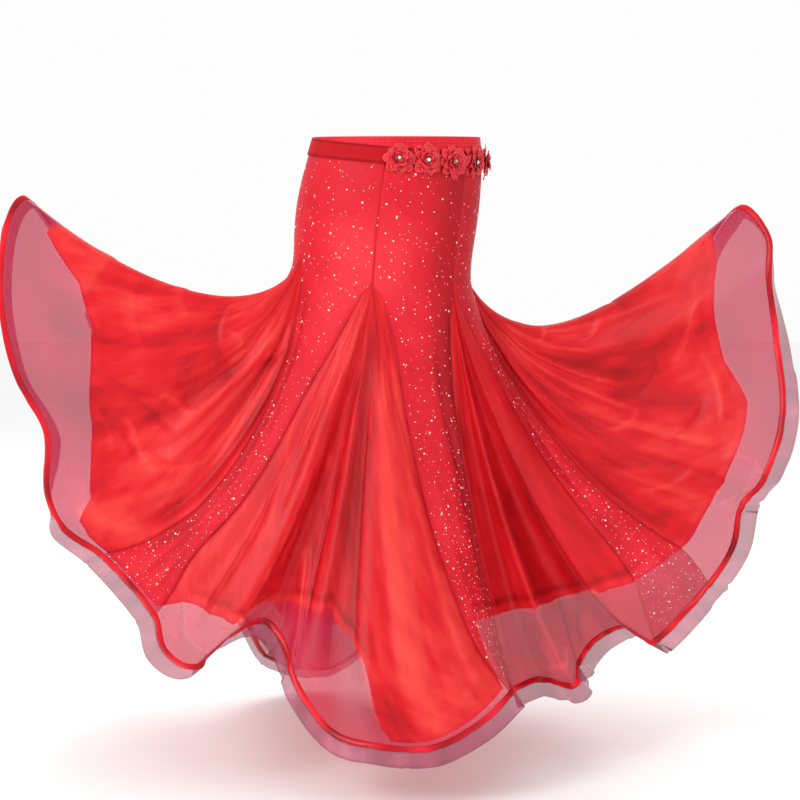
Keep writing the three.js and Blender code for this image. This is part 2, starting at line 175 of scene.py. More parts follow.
# %% Hem
hem = table(("at", "x", "y", "z", "lean", "drop", "fold"), [
    (-0.10, -590, -60, -105, 0.35, 0.30, 180),
    (-0.02, -620, -90, -145, 0.35, 0.30, 180),
    (0.06, -625, -130, -260, 0.35, 0.30, 180),
    (0.15, -600, -150, -380, 0.35, 0.30, 180),
    (0.24, -555, -125, -485, 0.32, 0.30, 180),
    (0.31, -550, -160, -575, 0.25, 0.30, 120),
    (0.37, -520, -190, -630, 0.18, 0.30, 60),
    (0.43, -460, -185, -675, 0.10, 0.30, 0),
    (0.57, -370, -230, -765, 0.75, 0.30, 0),
    (0.63, -350, -265, -815, 0.75, 0.30, 0),
    (0.70, -300, -285, -835, 0.70, 0.30, 0),
    (0.77, -245, -235, -795, 0.60, 0.30, 0),
    (0.83, -200, -195, -780, 0.55, 0.30, 0),
    (0.90, -165, -215, -810, 0.50, 0.30, 0),
    (0.97, -140, -265, -870, 0.45, 0.30, 0),
    (1.06, -85, -305, -935, 0.40, 0.30, 0),
    (1.16, -15, -335, -950, 0.35, 0.30, 0),
    (1.26, 70, -330, -955, 0.35, 0.30, 0),
    (1.35, 145, -300, -925, 0.32, 0.30, 0),
    (1.43, 200, -235, -890, 0.30, 0.30, 0),
    (1.57, 210, -130, -910, 0.30, 0.30, 0),
    (1.65, 255, -80, -905, 0.35, 0.30, 0),
    (1.76, 310, -125, -905, 0.40, 0.30, 0),
    (1.87, 320, -80, -880, 0.45, 0.30, 0),
    (1.98, 345, -35, -855, 0.45, 0.30, 0),
    (2.10, 375, -30, -835, 0.45, 0.30, 0),
    (2.22, 400, -65, -820, 0.45, 0.30, 0),
    (2.33, 420, -115, -825, 0.45, 0.30, 0),
    (2.43, 440, -150, -825, 0.50, 0.30, 0),
    (2.57, 525, -170, -725, 0.35, 0.30, 0),
    (2.64, 565, -145, -670, 0.35, 0.34, 0),
    (2.70, 585, -100, -610, 0.35, 0.38, 0),
    (2.78, 620, -115, -560, 0.34, 0.40, 15),
    (2.87, 652, -95, -455, 0.33, 0.44, 40),
    (2.95, 645, -55, -330, 0.32, 0.48, 60),
    (3.01, 630, -65, -235, 0.30, 0.50, 85),
    (3.06, 630, -45, -165, 0.30, 0.50, 115),
    (3.12, 590, 0, -120, 0.30, 0.50, 120),
    (3.20, 540, 55, -195, 0.30, 0.45, 60),
    (3.28, 530, 115, -305, 0.30, 0.40, 0),
    (3.43, 520, 150, -480, 0.35, 0.30, 0),
    (3.57, 465, 215, -610, 0.40, 0.30, 0),
    (3.65, 430, 290, -700, 0.40, 0.30, 0),
    (3.74, 375, 230, -715, 0.40, 0.30, 0),
    (3.83, 305, 310, -805, 0.40, 0.30, 0),
    (3.92, 240, 380, -865, 0.40, 0.30, 0),
    (4.01, 170, 310, -845, 0.40, 0.30, 0),
    (4.10, 110, 345, -895, 0.40, 0.30, 0),
    (4.19, 50, 430, -960, 0.40, 0.30, 0),
    (4.28, -5, 355, -920, 0.40, 0.30, 0),
    (4.43, -115, 420, -1005, 0.40, 0.30, 0),
    (4.57, -230, 370, -970, 0.40, 0.30, 0),
    (4.64, -265, 300, -880, 0.40, 0.30, 0),
    (4.80, -360, 385, -820, 0.40, 0.30, 0),
    (4.96, -410, 245, -710, 0.40, 0.30, 0),
    (5.07, -445, 290, -690, 0.40, 0.30, 0),
    (5.25, -470, 165, -550, 0.40, 0.30, 0),
    (5.34, -480, 205, -500, 0.40, 0.30, 0),
    (5.43, -480, 150, -450, 0.40, 0.30, 0),
    (5.57, -490, 110, -340, 0.40, 0.30, 0),
    (5.66, -500, 95, -285, 0.40, 0.30, 90),
    (5.76, -535, 40, -210, 0.35, 0.30, 180),
])
closed_hem = {name: np.tile(values, 3) for name, values in hem.items()}
closed_hem["at"] = np.concatenate([hem["at"] + lap * STATIONS for lap in (-1, 0, 1)])
print("hem rows:", len(hem["at"]))

# %% [markdown]
# ## The form that all the cloth follows
# Each line of cloth falls down the hips and then swings out to the hem along a cubic curve. A whole
# array of lines is worked out at once: rows go down the cloth, columns go round the wearer. A cloth
# simulation would let the wings fall, and here they are caught in mid swing.


# %% Smooth curves through a table
def smooth(keys, values, at):
    """A cubic through the rows. Its slope at a row is the rise from the row before to the row
    after it, over the distance between those two."""
    at = np.asarray(at, float)
    last = len(keys) - 1
    row = np.arange(last + 1)
    low, high = np.maximum(row - 1, 0), np.minimum(row + 1, last)
    slope = (values[high] - values[low]) / (keys[high] - keys[low])
    i = np.clip(np.searchsorted(keys, at, side="right") - 1, 0, last - 1)
    step = keys[i + 1] - keys[i]
    s = (at - keys[i]) / step
    return (
        (2 * s**3 - 3 * s**2 + 1) * values[i]
        + (s**3 - 2 * s**2 + s) * slope[i] * step
        + (3 * s**2 - 2 * s**3) * values[i + 1]
        + (s**3 - s**2) * slope[i + 1] * step
    )


def hem_value(name, station):
    return smooth(closed_hem["at"], closed_hem[name], station)


def hip_point(turn, z):
    """An oval: half width times the sine of the turn sideways, half depth times its cosine to
    the front."""
    angle = np.radians(turn)
    x = smooth(hips["z"], hips["middle_x"], z)
    x = x + smooth(hips["z"], hips["half_width"], z) * np.sin(angle)
    y = -smooth(hips["z"], hips["half_depth"], z) * np.cos(angle)
    return np.stack([x, y, z + 0 * x], axis=-1)


print("hip width:", round(float(2 * hips["half_width"].max())), "mm")


# %% Lines of cloth
REACH, CLIMB, SAG = 0.38, 0.25, 0.27     # how the cloth comes to the hem
BAND_HEIGHT = 30
BODY_TOP = -BAND_HEIGHT - 0.4
BODY_ROWS = 44
FLARE_ROWS = 150


def flare_start(station):
    """Turn and level of a godet's point, or of the straight line between two points."""
    index = np.floor(station + HALF_GODET).astype(int)
    share = np.clip((station - index - HALF_GODET) / (1 - 2 * HALF_GODET), 0, 1)
    turns = [godet_turn[i % STATIONS] + 360 * (i // STATIONS) for i in (index, index + 1)]
    levels = [godet_point[i % STATIONS] for i in (index, index + 1)]
    return [(1 - share) * a + share * b for a, b in (turns, levels)]


def cloth_lines(station):
    """Rows by columns of points. The body part goes straight down the hips, and the flare is a
    cubic curve with two handles, one at each end."""
    turn, level = flare_start(station)
    share = np.linspace(0, 1, BODY_ROWS, endpoint=False)[:, None]
    body = hip_point(turn[None, :], BODY_TOP + share * (level[None, :] - BODY_TOP))
    start = hip_point(turn, level)
    end = np.stack([hem_value(axis, station) for axis in "xyz"], axis=-1)
    span = end - start
    length = np.linalg.norm(span, axis=-1, keepdims=True)
    sideways = np.hypot(span[:, 0], span[:, 1])
    lean = hem_value("lean", station)[:, None]
    first = (1 - lean) * np.array([0, 0, -1.0]) + lean * span / length
    first /= np.linalg.norm(first, axis=-1, keepdims=True)
    handle_a = start + first * hem_value("drop", station)[:, None] * length
    pull = np.stack([REACH * span[:, 0], REACH * span[:, 1], CLIMB * span[:, 2] + SAG * sideways], -1)
    handle_b = end - pull
    t = np.linspace(0, 1, FLARE_ROWS + 1)[:, None, None]
    flare = (1 - t) ** 3 * start + 3 * (1 - t) ** 2 * t * handle_a
    flare = flare + 3 * (1 - t) * t**2 * handle_b + t**3 * end
    return np.concatenate([body, flare])


# %% [markdown]
# The first form has a hard bend where the flare begins. Cloth can't bend like that, so each line
# is relaxed: a point moves to the mean of its neighbours, again and again.

# %% The whole form
GODET_COLUMNS = 150
GORE_COLUMNS = 30
PER_STATION = GODET_COLUMNS + GORE_COLUMNS
RELAX_PASSES = 36


def relaxed(points, passes):
    """Each pass gives a point half of itself and a quarter of each neighbour up and down."""
    points = points.copy()
    for _ in range(passes):
        points[1:-1] = 0.25 * points[:-2] + 0.5 * points[1:-1] + 0.25 * points[2:]
    return points


def station_columns():
    godet = HALF_GODET * np.linspace(-1, 1, GODET_COLUMNS, endpoint=False)
    gore = 0.5 + (0.5 - HALF_GODET) * np.linspace(-1, 1, GORE_COLUMNS, endpoint=False)
    one = np.concatenate([godet, gore])
    return (np.arange(STATIONS)[:, None] + one[None, :]).ravel()


station = station_columns()
form = relaxed(cloth_lines(station), RELAX_PASSES)
ROWS, COLUMNS = form.shape[:2]
flare_share = (np.arange(ROWS) - BODY_ROWS) / FLARE_ROWS
print("form:", ROWS, "rows by", COLUMNS, "columns")


# %% Outward directions
def outward(points, closed=True):
    """Down the cloth crossed with round it, plus a little of the way straight out from the
    middle, which decides where the lines of a godet run together."""
    down = np.gradient(points, axis=0)
    if closed:
        across = 0.5 * (np.roll(points, -1, axis=1) - np.roll(points, 1, axis=1))
    else:
        across = np.gradient(points, axis=1)
    normal = np.cross(down, across)
    out = points * np.array([1, 1, 0])
    out /= np.maximum(np.linalg.norm(out, axis=-1, keepdims=True), 1)
    normal = normal + NEAR_POINT * out
    return normal / np.linalg.norm(normal, axis=-1, keepdims=True)


NEAR_POINT = 0.25          # square millimetres
normals = outward(form)
print("mean outward x at the front:", round(float(normals[:, :20, 0].mean()), 3))

# %% [markdown]
# ## Seams
# A seam doesn't follow one line of cloth. The godets are cut with full, curved sides, so below
# their points they push the gores together, and the gores widen again at the hem. The table says
# how far each seam lies from its line, in millimetres towards the wearer's left, at each share of
# the way from the point to the hem. Cutting a finished mesh along such lines would leave slivers, so
# each panel gets a grid of its own between its two seams.

# %% Seam lines
FULL_SIDE = [(0, 0), (0.04, 11), (0.12, 17), (0.25, 25), (0.45, 30), (0.65, 28), (0.85, 14), (1, 0)]
seam_rows = {
    ("left", 1): [(0, 0), (0.08, 10), (0.16, 18), (0.25, 30), (0.4, 36), (0.66, 36), (0.8, 20), (1, 0)],
    ("front", -1): [(0, 0), (0.03, -10), (0.1, -14), (0.18, -18), (0.3, -27), (0.58, -34),
                    (0.72, -46), (0.8, -44), (0.9, -24), (1, 0)],
    ("front", 1): [(0, 0), (0.03, 13), (0.08, 19), (0.15, 23), (0.27, 16), (0.5, 2), (0.7, -9),
                   (0.84, -12), (1, 0)],
    ("front_right", -1): [(0, 0), (0.04, -8), (0.12, -13), (0.25, -18), (0.6, -12), (1, 0)],
    ("front_right", 1): [(0, 0), (0.04, 13), (0.14, 27), (0.26, 46), (0.4, 58), (0.6, 66), (0.79, 62),
                         (0.9, 34), (1, 0)],
    ("right", -1): [(0, 0), (0.07, 8), (0.2, 11), (0.31, 14), (0.6, 30), (0.86, 42), (0.95, 20), (1, 0)],
}


def seam_shift(name, side, share):
    rows = seam_rows.get((name, side)) or [(v, side * mm) for v, mm in FULL_SIDE]
    found = table(("at", "shift"), rows)
    return np.where(share > 0, smooth(found["at"], found["shift"], np.clip(share, 0, 1)), 0)


def lengths_round(points):
    """How far it is along each row from the first column, over three laps of the skirt."""
    steps = np.linalg.norm(np.roll(points, -1, axis=1) - points, axis=-1)
    lap = np.concatenate([np.zeros((len(points), 1)), np.cumsum(steps, axis=1)], axis=1)
    whole = lap[:, -1:]
    return np.concatenate([lap[:, :-1] - whole, lap[:, :-1], lap + whole], axis=1)


arc = lengths_round(form)
arc_column = np.arange(arc.shape[1]) - COLUMNS


def seam_place(k, side):
    """A seam's distance along every row. k may be a lap round the skirt on."""
    lap, own = divmod(k, STATIONS)
    column = own * PER_STATION + (GODET_COLUMNS if side > 0 else 0) + (lap + 1) * COLUMNS
    return arc[:, column] + seam_shift(GODETS[own], side, flare_share)


POINT_WIDTH = 1.5          # a godet's cloth begins in the row where it is this wide


def gore_edge(k, side):
    """Above the godet's point the two gores beside it meet in the middle."""
    low, high = seam_place(k, -1), seam_place(k, 1)
    return np.where(high - low < POINT_WIDTH, (low + high) / 2, high if side > 0 else low)


edges = {}
for k in range(STATIONS):
    edges["godet_" + GODETS[k]] = (seam_place(k, -1), seam_place(k, 1))
    edges["gore_" + GORES[k]] = (gore_edge(k, 1), gore_edge(k + 1, -1))
print("seams:", 2 * STATIONS)

# %% [markdown]
# ## Panels and their own coordinates
# A crease is placed on its panel, so each panel has its own map: `u` runs from -1 at one seam to 1
# at the other, and `v` from 0 at the godet's point to 1 at the hem, below 0 on the hips.


# %% Panels
def panel_window(name):
    """The form's columns on and beside a panel, with u at each of their points."""
    left, right = edges[name]
    is_godet = name.startswith("godet")
    k = (GODETS if is_godet else GORES).index(name.split("_", 1)[1])
    first = k * PER_STATION + (0 if is_godet else GODET_COLUMNS)
    last = first + (GODET_COLUMNS if is_godet else GORE_COLUMNS)
    beside = GORE_COLUMNS - 4
    window = np.arange(first - beside, last + beside + 1)
    width = np.maximum(right - left, 1e-3)[:, None]
    u = 2 * (arc[:, window + COLUMNS] - left[:, None]) / width - 1
    return window % COLUMNS, u, width / 2


def flare_length(name):
    """The length of the panel's middle line from the godet's point to the hem."""
    columns, u, _ = panel_window(name)
    middle = form[BODY_ROWS:, columns[len(columns) // 2]]
    return np.linalg.norm(np.diff(middle, axis=0), axis=-1).sum()


panels = {name: panel_window(name) for name in edges}
print("panels:", len(panels))

# %% [markdown]
# ## Creases, placed one by one
# Each row is one soft crease. It runs from (u0, v0) to (u1, v1), bowed sideways. `width` and
# `height` are in millimetres, a negative height is a trough, and `skew` makes one side steeper.
# `tone` says how much lighter or darker the cloth is painted along it: a painted highlight along a
# ridge and painted shade in a trough. The lengths, depths and gaps are uneven, as in cloth that was
# swung.

# %% Creases on the godets
# u0, v0, u1, v1, bow, width, height, skew, tone
godet_creases = {
    "godet_left": [
        (0.94, 0.14, 0.93, 0.86, -0.02, 10, -5.0, 0.3, -0.60),
        (0.80, 0.14, 0.84, 0.55, -0.03, 9, 3.5, 0.3, 0.30),
        (0.70, 0.22, 0.74, 0.70, -0.03, 8, -2.5, 0.7, -0.35),
        (0.55, 0.18, 0.60, 0.62, -0.04, 12, 3.0, -0.5, 0.20),
        (0.40, 0.30, 0.45, 0.74, -0.03, 10, -2.5, 0.8, -0.30),
        (0.20, 0.24, 0.30, 0.66, 0.03, 16, 3.0, -0.4, 0.12),
        (-0.02, 0.36, 0.02, 0.88, 0.05, 12, -3.0, -0.7, -0.34),
        (-0.30, 0.42, -0.16, 0.92, 0.02, 20, 3.0, 0.5, 0.18),
        (0.62, 0.60, 0.56, 1.02, -0.02, 18, -4.0, 0.4, -0.16),
        (0.84, 0.62, 0.76, 1.02, -0.02, 14, 4.0, 0.0, 0.22),
        (0.28, 0.62, 0.24, 1.02, 0.02, 26, -3.0, 0.3, -0.12),
        (-0.60, 0.30, -0.55, 0.85, 0.02, 18, -3.0, 0.3, -0.20),
        (-0.82, 0.20, -0.80, 0.95, 0.02, 14, 3.0, 0.3, 0.18),
    ],
    "godet_front": [
        (-0.84, 0.08, -0.80, 0.42, 0.02, 5, 2.5, 0.6, 0.55),
        (-0.66, 0.14, -0.68, 0.55, -0.02, 14, -2.0, -0.5, -0.10),
        (-0.86, 0.50, -0.78, 0.90, 0.03, 7, -2.5, 0.8, -0.28),
        (-0.52, 0.30, -0.48, 0.95, -0.02, 26, 3.0, 0.3, 0.10),
        (-0.30, 0.52, -0.28, 1.02, 0.02, 12, -3.0, 0.5, -0.22),
        (-0.18, 0.70, -0.12, 1.02, 0.02, 9, 3.0, -0.6, 0.35),
        (-0.10, 0.16, -0.05, 0.88, -0.03, 5, -3.0, 0.75, -0.50),
        (0.20, 0.04, 0.17, 0.86, 0.03, 30, -6.0, 0.3, -0.55),
        (0.36, 0.22, 0.38, 0.90, -0.02, 8, -2.0, -0.7, -0.20),
        (0.58, 0.12, 0.60, 1.02, 0.02, 20, 6.0, 0.3, 0.62),
        (0.76, 0.40, 0.76, 0.90, -0.02, 10, -2.0, -0.6, -0.14),
        (0.88, 0.16, 0.88, 0.98, 0.01, 9, 3.0, 0.4, 0.34),
        (0.44, 0.66, 0.48, 1.02, 0.01, 8, -2.0, 0.7, -0.20),
    ],
    "godet_front_right": [
        (-0.90, 0.20, -0.90, 0.98, 0.01, 8, -2.0, 0.5, -0.22),
        (-0.60, 0.20, -0.56, 0.80, 0.02, 24, 1.5, 0.4, 0.14),
        (-0.30, 0.34, -0.28, 0.80, -0.02, 8, -1.2, 0.7, -0.14),
        (0.06, 0.22, 0.08, 0.78, 0.02, 16, 1.5, -0.5, 0.20),
        (0.24, 0.34, 0.26, 0.80, 0.01, 8, -1.2, 0.7, -0.18),
        (0.58, 0.20, 0.60, 0.82, 0.02, 18, 1.5, 0.4, 0.12),
        (0.02, 0.78, -0.12, 1.02, 0.03, 6, -3.5, 0.6, -0.65),
        (0.18, 0.80, 0.05, 0.99, 0.02, 6, -2.5, 0.5, -0.40),
        (-0.50, 0.84, -0.52, 1.02, 0.02, 10, 3.0, 0.3, 0.30),
    ],
    "godet_right": [
        (-0.95, 0.08, -0.96, 0.84, 0.01, 9, -3.0, 0.4, -0.40),
        (-0.84, 0.14, -0.86, 0.60, 0.02, 10, 2.5, 0.4, 0.16),
        (-0.72, 0.24, -0.74, 0.66, 0.02, 8, -1.5, 0.7, -0.16),
        (-0.50, 0.16, -0.46, 0.62, 0.02, 5, 2.5, 0.6, 0.62),
        (-0.62, 0.20, -0.60, 0.50, 0.02, 4, 1.5, 0.6, 0.40),
        (-0.36, 0.20, -0.34, 0.60, 0.03, 4, 2.5, 0.7, 0.65),
        (-0.28, 0.30, -0.22, 0.64, 0.02, 6, -1.5, -0.6, -0.20),
        (-0.20, 0.18, -0.12, 0.52, 0.03, 5, 2.5, 0.6, 0.50),
        (-0.10, 0.36, -0.12, 0.76, -0.03, 14, -2.5, -0.7, -0.28),
        (0.10, 0.34, 0.06, 0.80, 0.02, 14, 3.0, 0.4, 0.22),
        (-0.42, 0.52, -0.40, 0.84, 0.02, 18, -2.5, 0.5, -0.24),
        (-0.60, 0.44, -0.58, 0.86, 0.03, 11, 4.0, 0.5, 0.60),
        (-0.70, 0.60, -0.70, 0.94, 0.02, 12, -3.5, -0.6, -0.36),
        (-0.84, 0.62, -0.80, 0.92, 0.02, 9, 3.5, 0.5, 0.48),
        (-0.62, 0.86, -0.62, 1.02, 0.03, 8, 3.0, 0.6, 0.40),
        (-0.70, 0.88, -0.76, 1.02, 0.03, 7, -3.0, 0.6, -0.35),
        (-0.26, 0.70, -0.30, 1.02, 0.02, 20, 3.0, 0.3, 0.14),
        (0.30, 0.30, 0.26, 0.90, 0.02, 18, -3.5, 0.3, -0.22),
        (0.55, 0.20, 0.58, 0.95, 0.02, 16, 3.5, 0.3, 0.20),
        (0.80, 0.16, 0.78, 0.85, 0.01, 12, -3.0, 0.3, -0.22),
    ],
    "godet_back": [
        (-0.82, 0.14, -0.78, 0.92, 0.03, 10, -4.0, 0.5, -0.35),
        (-0.58, 0.16, -0.60, 1.02, -0.02, 16, 5.0, 0.3, 0.30),
        (-0.38, 0.22, -0.34, 0.80, 0.03, 11, -4.0, -0.6, -0.34),
        (-0.10, 0.12, -0.14, 1.02, 0.02, 20, 5.0, 0.3, 0.24),
        (0.16, 0.20, 0.14, 0.88, -0.03, 14, -5.0, 0.6, -0.34),
        (0.38, 0.14, 0.42, 1.02, 0.02, 12, 4.0, -0.4, 0.26),
        (0.64, 0.24, 0.60, 0.74, 0.02, 14, -3.0, 0.6, -0.26),
        (0.84, 0.15, 0.86, 0.95, -0.02, 10, 3.5, 0.3, 0.25),
    ],
    "godet_back_left": [
        (-0.86, 0.15, -0.84, 0.95, 0.02, 10, 3.5, 0.4, 0.28),
        (-0.62, 0.20, -0.66, 1.02, -0.03, 13, -4.5, -0.6, -0.34),
        (-0.40, 0.14, -0.36, 0.78, 0.02, 16, 4.0, 0.4, 0.28),
        (-0.15, 0.22, -0.18, 1.02, 0.03, 14, -5.0, 0.5, -0.32),
        (0.12, 0.16, 0.15, 0.85, -0.02, 18, 4.5, -0.3, 0.24),
        (0.36, 0.24, 0.34, 1.02, 0.02, 12, -4.0, 0.6, -0.30),
        (0.60, 0.15, 0.64, 0.72, -0.02, 13, 3.5, 0.4, 0.24),
        (0.85, 0.18, 0.82, 0.92, 0.02, 9, -3.0, 0.4, -0.28),
    ],
}
print("creases on godets:", sum(len(rows) for rows in godet_creases.values()))

# %% Creases on the gores
# The tone column is painted light and shade here too: a painted highlight on a ridge, painted shade in a
# trough.
gore_creases = {
    "gore_front_left": [
        (-0.80, 0.04, -0.74, 0.90, 0.20, 6, -3.5, 0.6, -0.55),
        (-0.50, 0.16, -0.30, 1.02, 0.20, 5, 2.5, 0.3, 0.22),
        (-0.25, 0.26, -0.05, 0.98, 0.16, 5, -2.5, 0.6, -0.40),
        (0.20, 0.34, 0.30, 1.02, 0.10, 7, 2.5, 0.3, 0.16),
        (0.55, 0.40, 0.55, 0.98, 0.05, 6, -2.0, 0.5, -0.28),
    ],
    "gore_front": [
        (0.40, 0.10, 0.70, 0.44, -0.16, 5, -3.0, 0.6, -0.60),
        (0.66, 0.28, 0.74, 0.70, 0.02, 6, -2.5, -0.5, -0.50),
        (-0.55, 0.30, -0.50, 0.80, 0.05, 10, 2.0, 0.3, 0.12),
        (0.05, 0.40, 0.10, 0.95, 0.05, 12, 2.0, 0.3, 0.12),
        (0.50, 0.62, 0.42, 1.02, 0.05, 9, -3.0, 0.4, -0.28),
    ],
    "gore_right": [
        (-0.50, 0.06, -0.35, 0.60, 0.08, 7, -2.0, 0.5, -0.28),
        (0.10, 0.12, 0.20, 0.90, 0.08, 9, 2.5, 0.3, 0.15),
        (0.60, 0.05, 0.66, 0.70, 0.06, 6, -2.5, 0.5, -0.34),
        (-0.15, 0.70, -0.10, 1.02, 0.04, 14, 3.0, 0.2, 0.10),
        (0.30, 0.74, 0.45, 1.02, 0.04, 12, -3.0, 0.4, -0.20),
    ],
    "gore_back_right": [
        (-0.50, 0.08, -0.40, 0.80, 0.05, 10, -3.0, 0.5, -0.24),
        (0.15, 0.14, 0.25, 1.02, 0.06, 12, 3.0, 0.3, 0.16),
        (0.70, 0.10, 0.60, 0.65, 0.04, 8, -2.5, 0.5, -0.22),
    ],
    "gore_back": [
        (-0.45, 0.10, -0.50, 0.85, 0.05, 10, -3.0, 0.5, -0.22),
        (0.10, 0.24, 0.05, 1.02, 0.05, 14, 3.0, 0.3, 0.15),
        (0.60, 0.12, 0.66, 0.90, 0.04, 8, -2.5, 0.5, -0.22),
    ],
    "gore_left": [
        (-0.55, 0.10, -0.45, 0.75, 0.05, 9, -2.5, 0.5, -0.24),
        (0.05, 0.16, 0.12, 0.98, 0.05, 12, 3.0, 0.3, 0.15),
        (0.66, 0.08, 0.60, 0.60, 0.04, 7, -2.5, 0.5, -0.22),
    ],
}
print("creases on gores:", sum(len(rows) for rows in gore_creases.values()))

# %% [markdown]
# A crease that crosses a panel instead of running down it is short and shallow. These are the dents
# and the crisp ledges that a swung sheet shows between its long folds. They run from one u to
# another, and v changes along them.

# %% Creases across a panel
# Their tone is painted too: a painted highlight on a ledge, painted shade in a dent.
cross_creases = {
    "godet_left": [
        (-0.30, 0.33, 0.50, 0.40, 0.03, 12, -2.0, 0.6, -0.26),
        (0.02, 0.36, 0.30, 0.35, -0.03, 6, 1.5, 0.5, 0.30),
        (0.10, 0.47, 0.44, 0.55, 0.03, 22, -2.0, -0.7, -0.20),
        (-0.45, 0.76, -0.10, 0.80, -0.03, 12, 2.0, 0.6, 0.34),
        (-0.34, 0.64, 0.10, 0.60, 0.02, 10, 1.5, 0.7, 0.22),
        (0.30, 0.60, 0.56, 0.50, 0.02, 6, 1.5, 0.8, 0.36),
        (0.40, 0.74, 0.72, 0.66, 0.01, 5, 1.2, 0.8, 0.40),
        (0.20, 0.72, 0.36, 0.60, 0.02, 6, -1.5, 0.8, -0.22),
        (-0.50, 0.50, -0.10, 0.46, 0.03, 9, 1.5, 0.6, 0.24),
        (0.30, 0.68, 0.62, 0.56, 0.02, 7, -1.8, 0.8, -0.30),
        (0.46, 0.78, 0.74, 0.62, 0.02, 8, -1.8, -0.8, -0.28),
        (0.56, 0.70, 0.86, 0.56, 0.01, 8, 1.8, 0.7, 0.30),
        (0.04, 0.80, 0.60, 0.79, 0.01, 8, 1.0, 0.85, 0.22),
        (0.62, 0.88, 0.96, 0.84, 0.02, 12, 2.5, 0.5, 0.34),
        (0.58, 0.30, 0.92, 0.24, 0.01, 8, -2.0, 0.6, -0.30),
    ],
    "godet_front": [
        (-0.95, 0.90, -0.62, 0.93, 0.01, 7, -2.0, 0.6, -0.30),
        (-0.70, 0.84, -0.34, 0.78, 0.02, 10, 1.5, 0.7, 0.20),
        (0.30, 0.84, 0.52, 0.90, 0.02, 10, -1.5, 0.7, -0.22),
        (0.55, 0.93, 0.95, 0.86, 0.02, 10, 2.0, 0.4, 0.18),
    ],
    "godet_front_right": [
        (-0.66, 0.955, -0.10, 0.93, -0.02, 6, 3.0, 0.5, 0.75),
        (-0.80, 0.985, -0.20, 0.975, 0.01, 7, -2.0, 0.3, -0.55),
    ],
    "godet_right": [
        (-0.04, 0.46, 0.16, 0.54, 0.02, 7, 2.0, 0.7, 0.36),
        (-0.24, 0.72, 0.02, 0.80, 0.02, 7, 2.0, 0.6, 0.42),
        (-0.40, 0.60, -0.18, 0.68, 0.02, 6, -1.5, 0.7, -0.26),
        (-0.66, 0.54, -0.44, 0.62, 0.02, 6, 1.8, 0.7, 0.34),
        (-0.60, 0.70, -0.40, 0.80, 0.01, 6, -1.8, 0.7, -0.26),
        (-0.86, 0.72, -0.66, 0.80, 0.01, 7, 2.0, 0.7, 0.34),
        (-0.78, 0.93, -0.60, 0.97, 0.02, 6, 2.0, 0.6, 0.45),
        (0.10, 0.62, 0.40, 0.56, 0.02, 9, -2.0, 0.5, -0.22),
        (-0.14, 0.30, 0.20, 0.36, 0.02, 5, 1.5, 0.7, 0.40),
        (-0.50, 0.84, -0.20, 0.80, 0.02, 5, 1.5, 0.7, 0.45),
    ],
    "godet_back": [
        (-0.40, 0.60, 0.15, 0.66, 0.02, 12, -2.5, 0.6, -0.22),
        (0.05, 0.40, 0.60, 0.35, 0.02, 10, 2.5, 0.6, 0.22),
    ],
    "godet_back_left": [
        (-0.60, 0.50, -0.05, 0.56, 0.02, 12, -2.5, 0.6, -0.22),
        (0.10, 0.66, 0.65, 0.60, 0.02, 11, 2.5, 0.6, 0.22),
    ],
}
print("creases across:", sum(len(rows) for rows in cross_creases.values()))

# %% [markdown]
# ### From rows to relief
# A crease's cross section is a bell curve. Its height fades at both ends, and it fades out at the
# seams too, so that the neighbouring panels still meet. Near a godet's point, where there is little
# cloth, every crease is flatter.

# %% Relief
SEAM_FADE = 9              # millimetres from a seam where creases die out
END_FADE = 0.16            # share of a crease's length where it rises and dies
FULL_DEPTH = 75            # half width of cloth in which a crease has its whole depth


def bell(distance, width, skew):
    """One at the middle, falling off as the square of the distance in widths, wider on one side
    than on the other by the skew."""
    side = width * (1 + skew * np.sign(distance))
    return np.exp(-((distance / side) ** 2))


def fade(share):
    """Rises smoothly from 0 to 1 over each end of the crease."""
    edge = np.clip(np.minimum(share, 1 - share) / END_FADE, 0, 1)
    return edge * edge * (3 - 2 * edge)


def crease_relief(rows, u, v, half_width, length, across):
    """Sums the bells of all rows. A crease down the cloth measures its distance sideways, and one
    across measures it down the cloth."""
    height = np.zeros(np.broadcast(u, v).shape)
    tone = height.copy()
    for u0, v0, u1, v1, bow, width, tall, skew, light in rows:
        along_u, along_v = (u, u0, u1), (v, v0, v1)
        (a, a0, a1), (b, b0, b1) = (along_u, along_v) if across else (along_v, along_u)
        share = (a - a0) / (a1 - a0)
        aside = b - b0 - share * (b1 - b0) - 4 * bow * share * (1 - share)
        distance = aside * (length if across else half_width)
        share = share + 0 * height
        shape = bell(distance, width, skew) * fade(share)
        height += tall * shape
        tone += light * shape
    depth = np.clip(half_width / FULL_DEPTH, 0, 1)
    return height * depth, tone * (0.3 + 0.7 * depth)


relief = np.zeros((ROWS, COLUMNS))
tone = np.zeros((ROWS, COLUMNS))
for name, (columns, u, half_width) in panels.items():
    v = flare_share[:, None]
    length = flare_length(name)
    creases = {**godet_creases, **gore_creases}[name]
    height, light = crease_relief(creases, u, v, half_width, length, False)
    more, more_light = crease_relief(cross_creases.get(name, []), u, v, half_width, length, True)
    seam = np.clip((1 - np.abs(u)) * half_width / SEAM_FADE, 0, 1)
    relief[:, columns] += (height + more) * seam
    tone[:, columns] += (light + more_light) * seam
print("relief from", round(relief.min(), 1), "to", round(relief.max(), 1), "mm")

# %% [markdown]
# ### Soft patches of painted light and shade
# Over the creases lie wide soft patches of painted light and shade: painted lighter where the cloth
# swells towards the light, painted darker where it turns away or lies recessed, as the front right godet
# does. A row holds the panel's middle of the patch, its half sizes in u and v, and its tone.

# %% Patches
TONE_LIMIT = 0.7           # where many creases meet, the cloth still isn't black
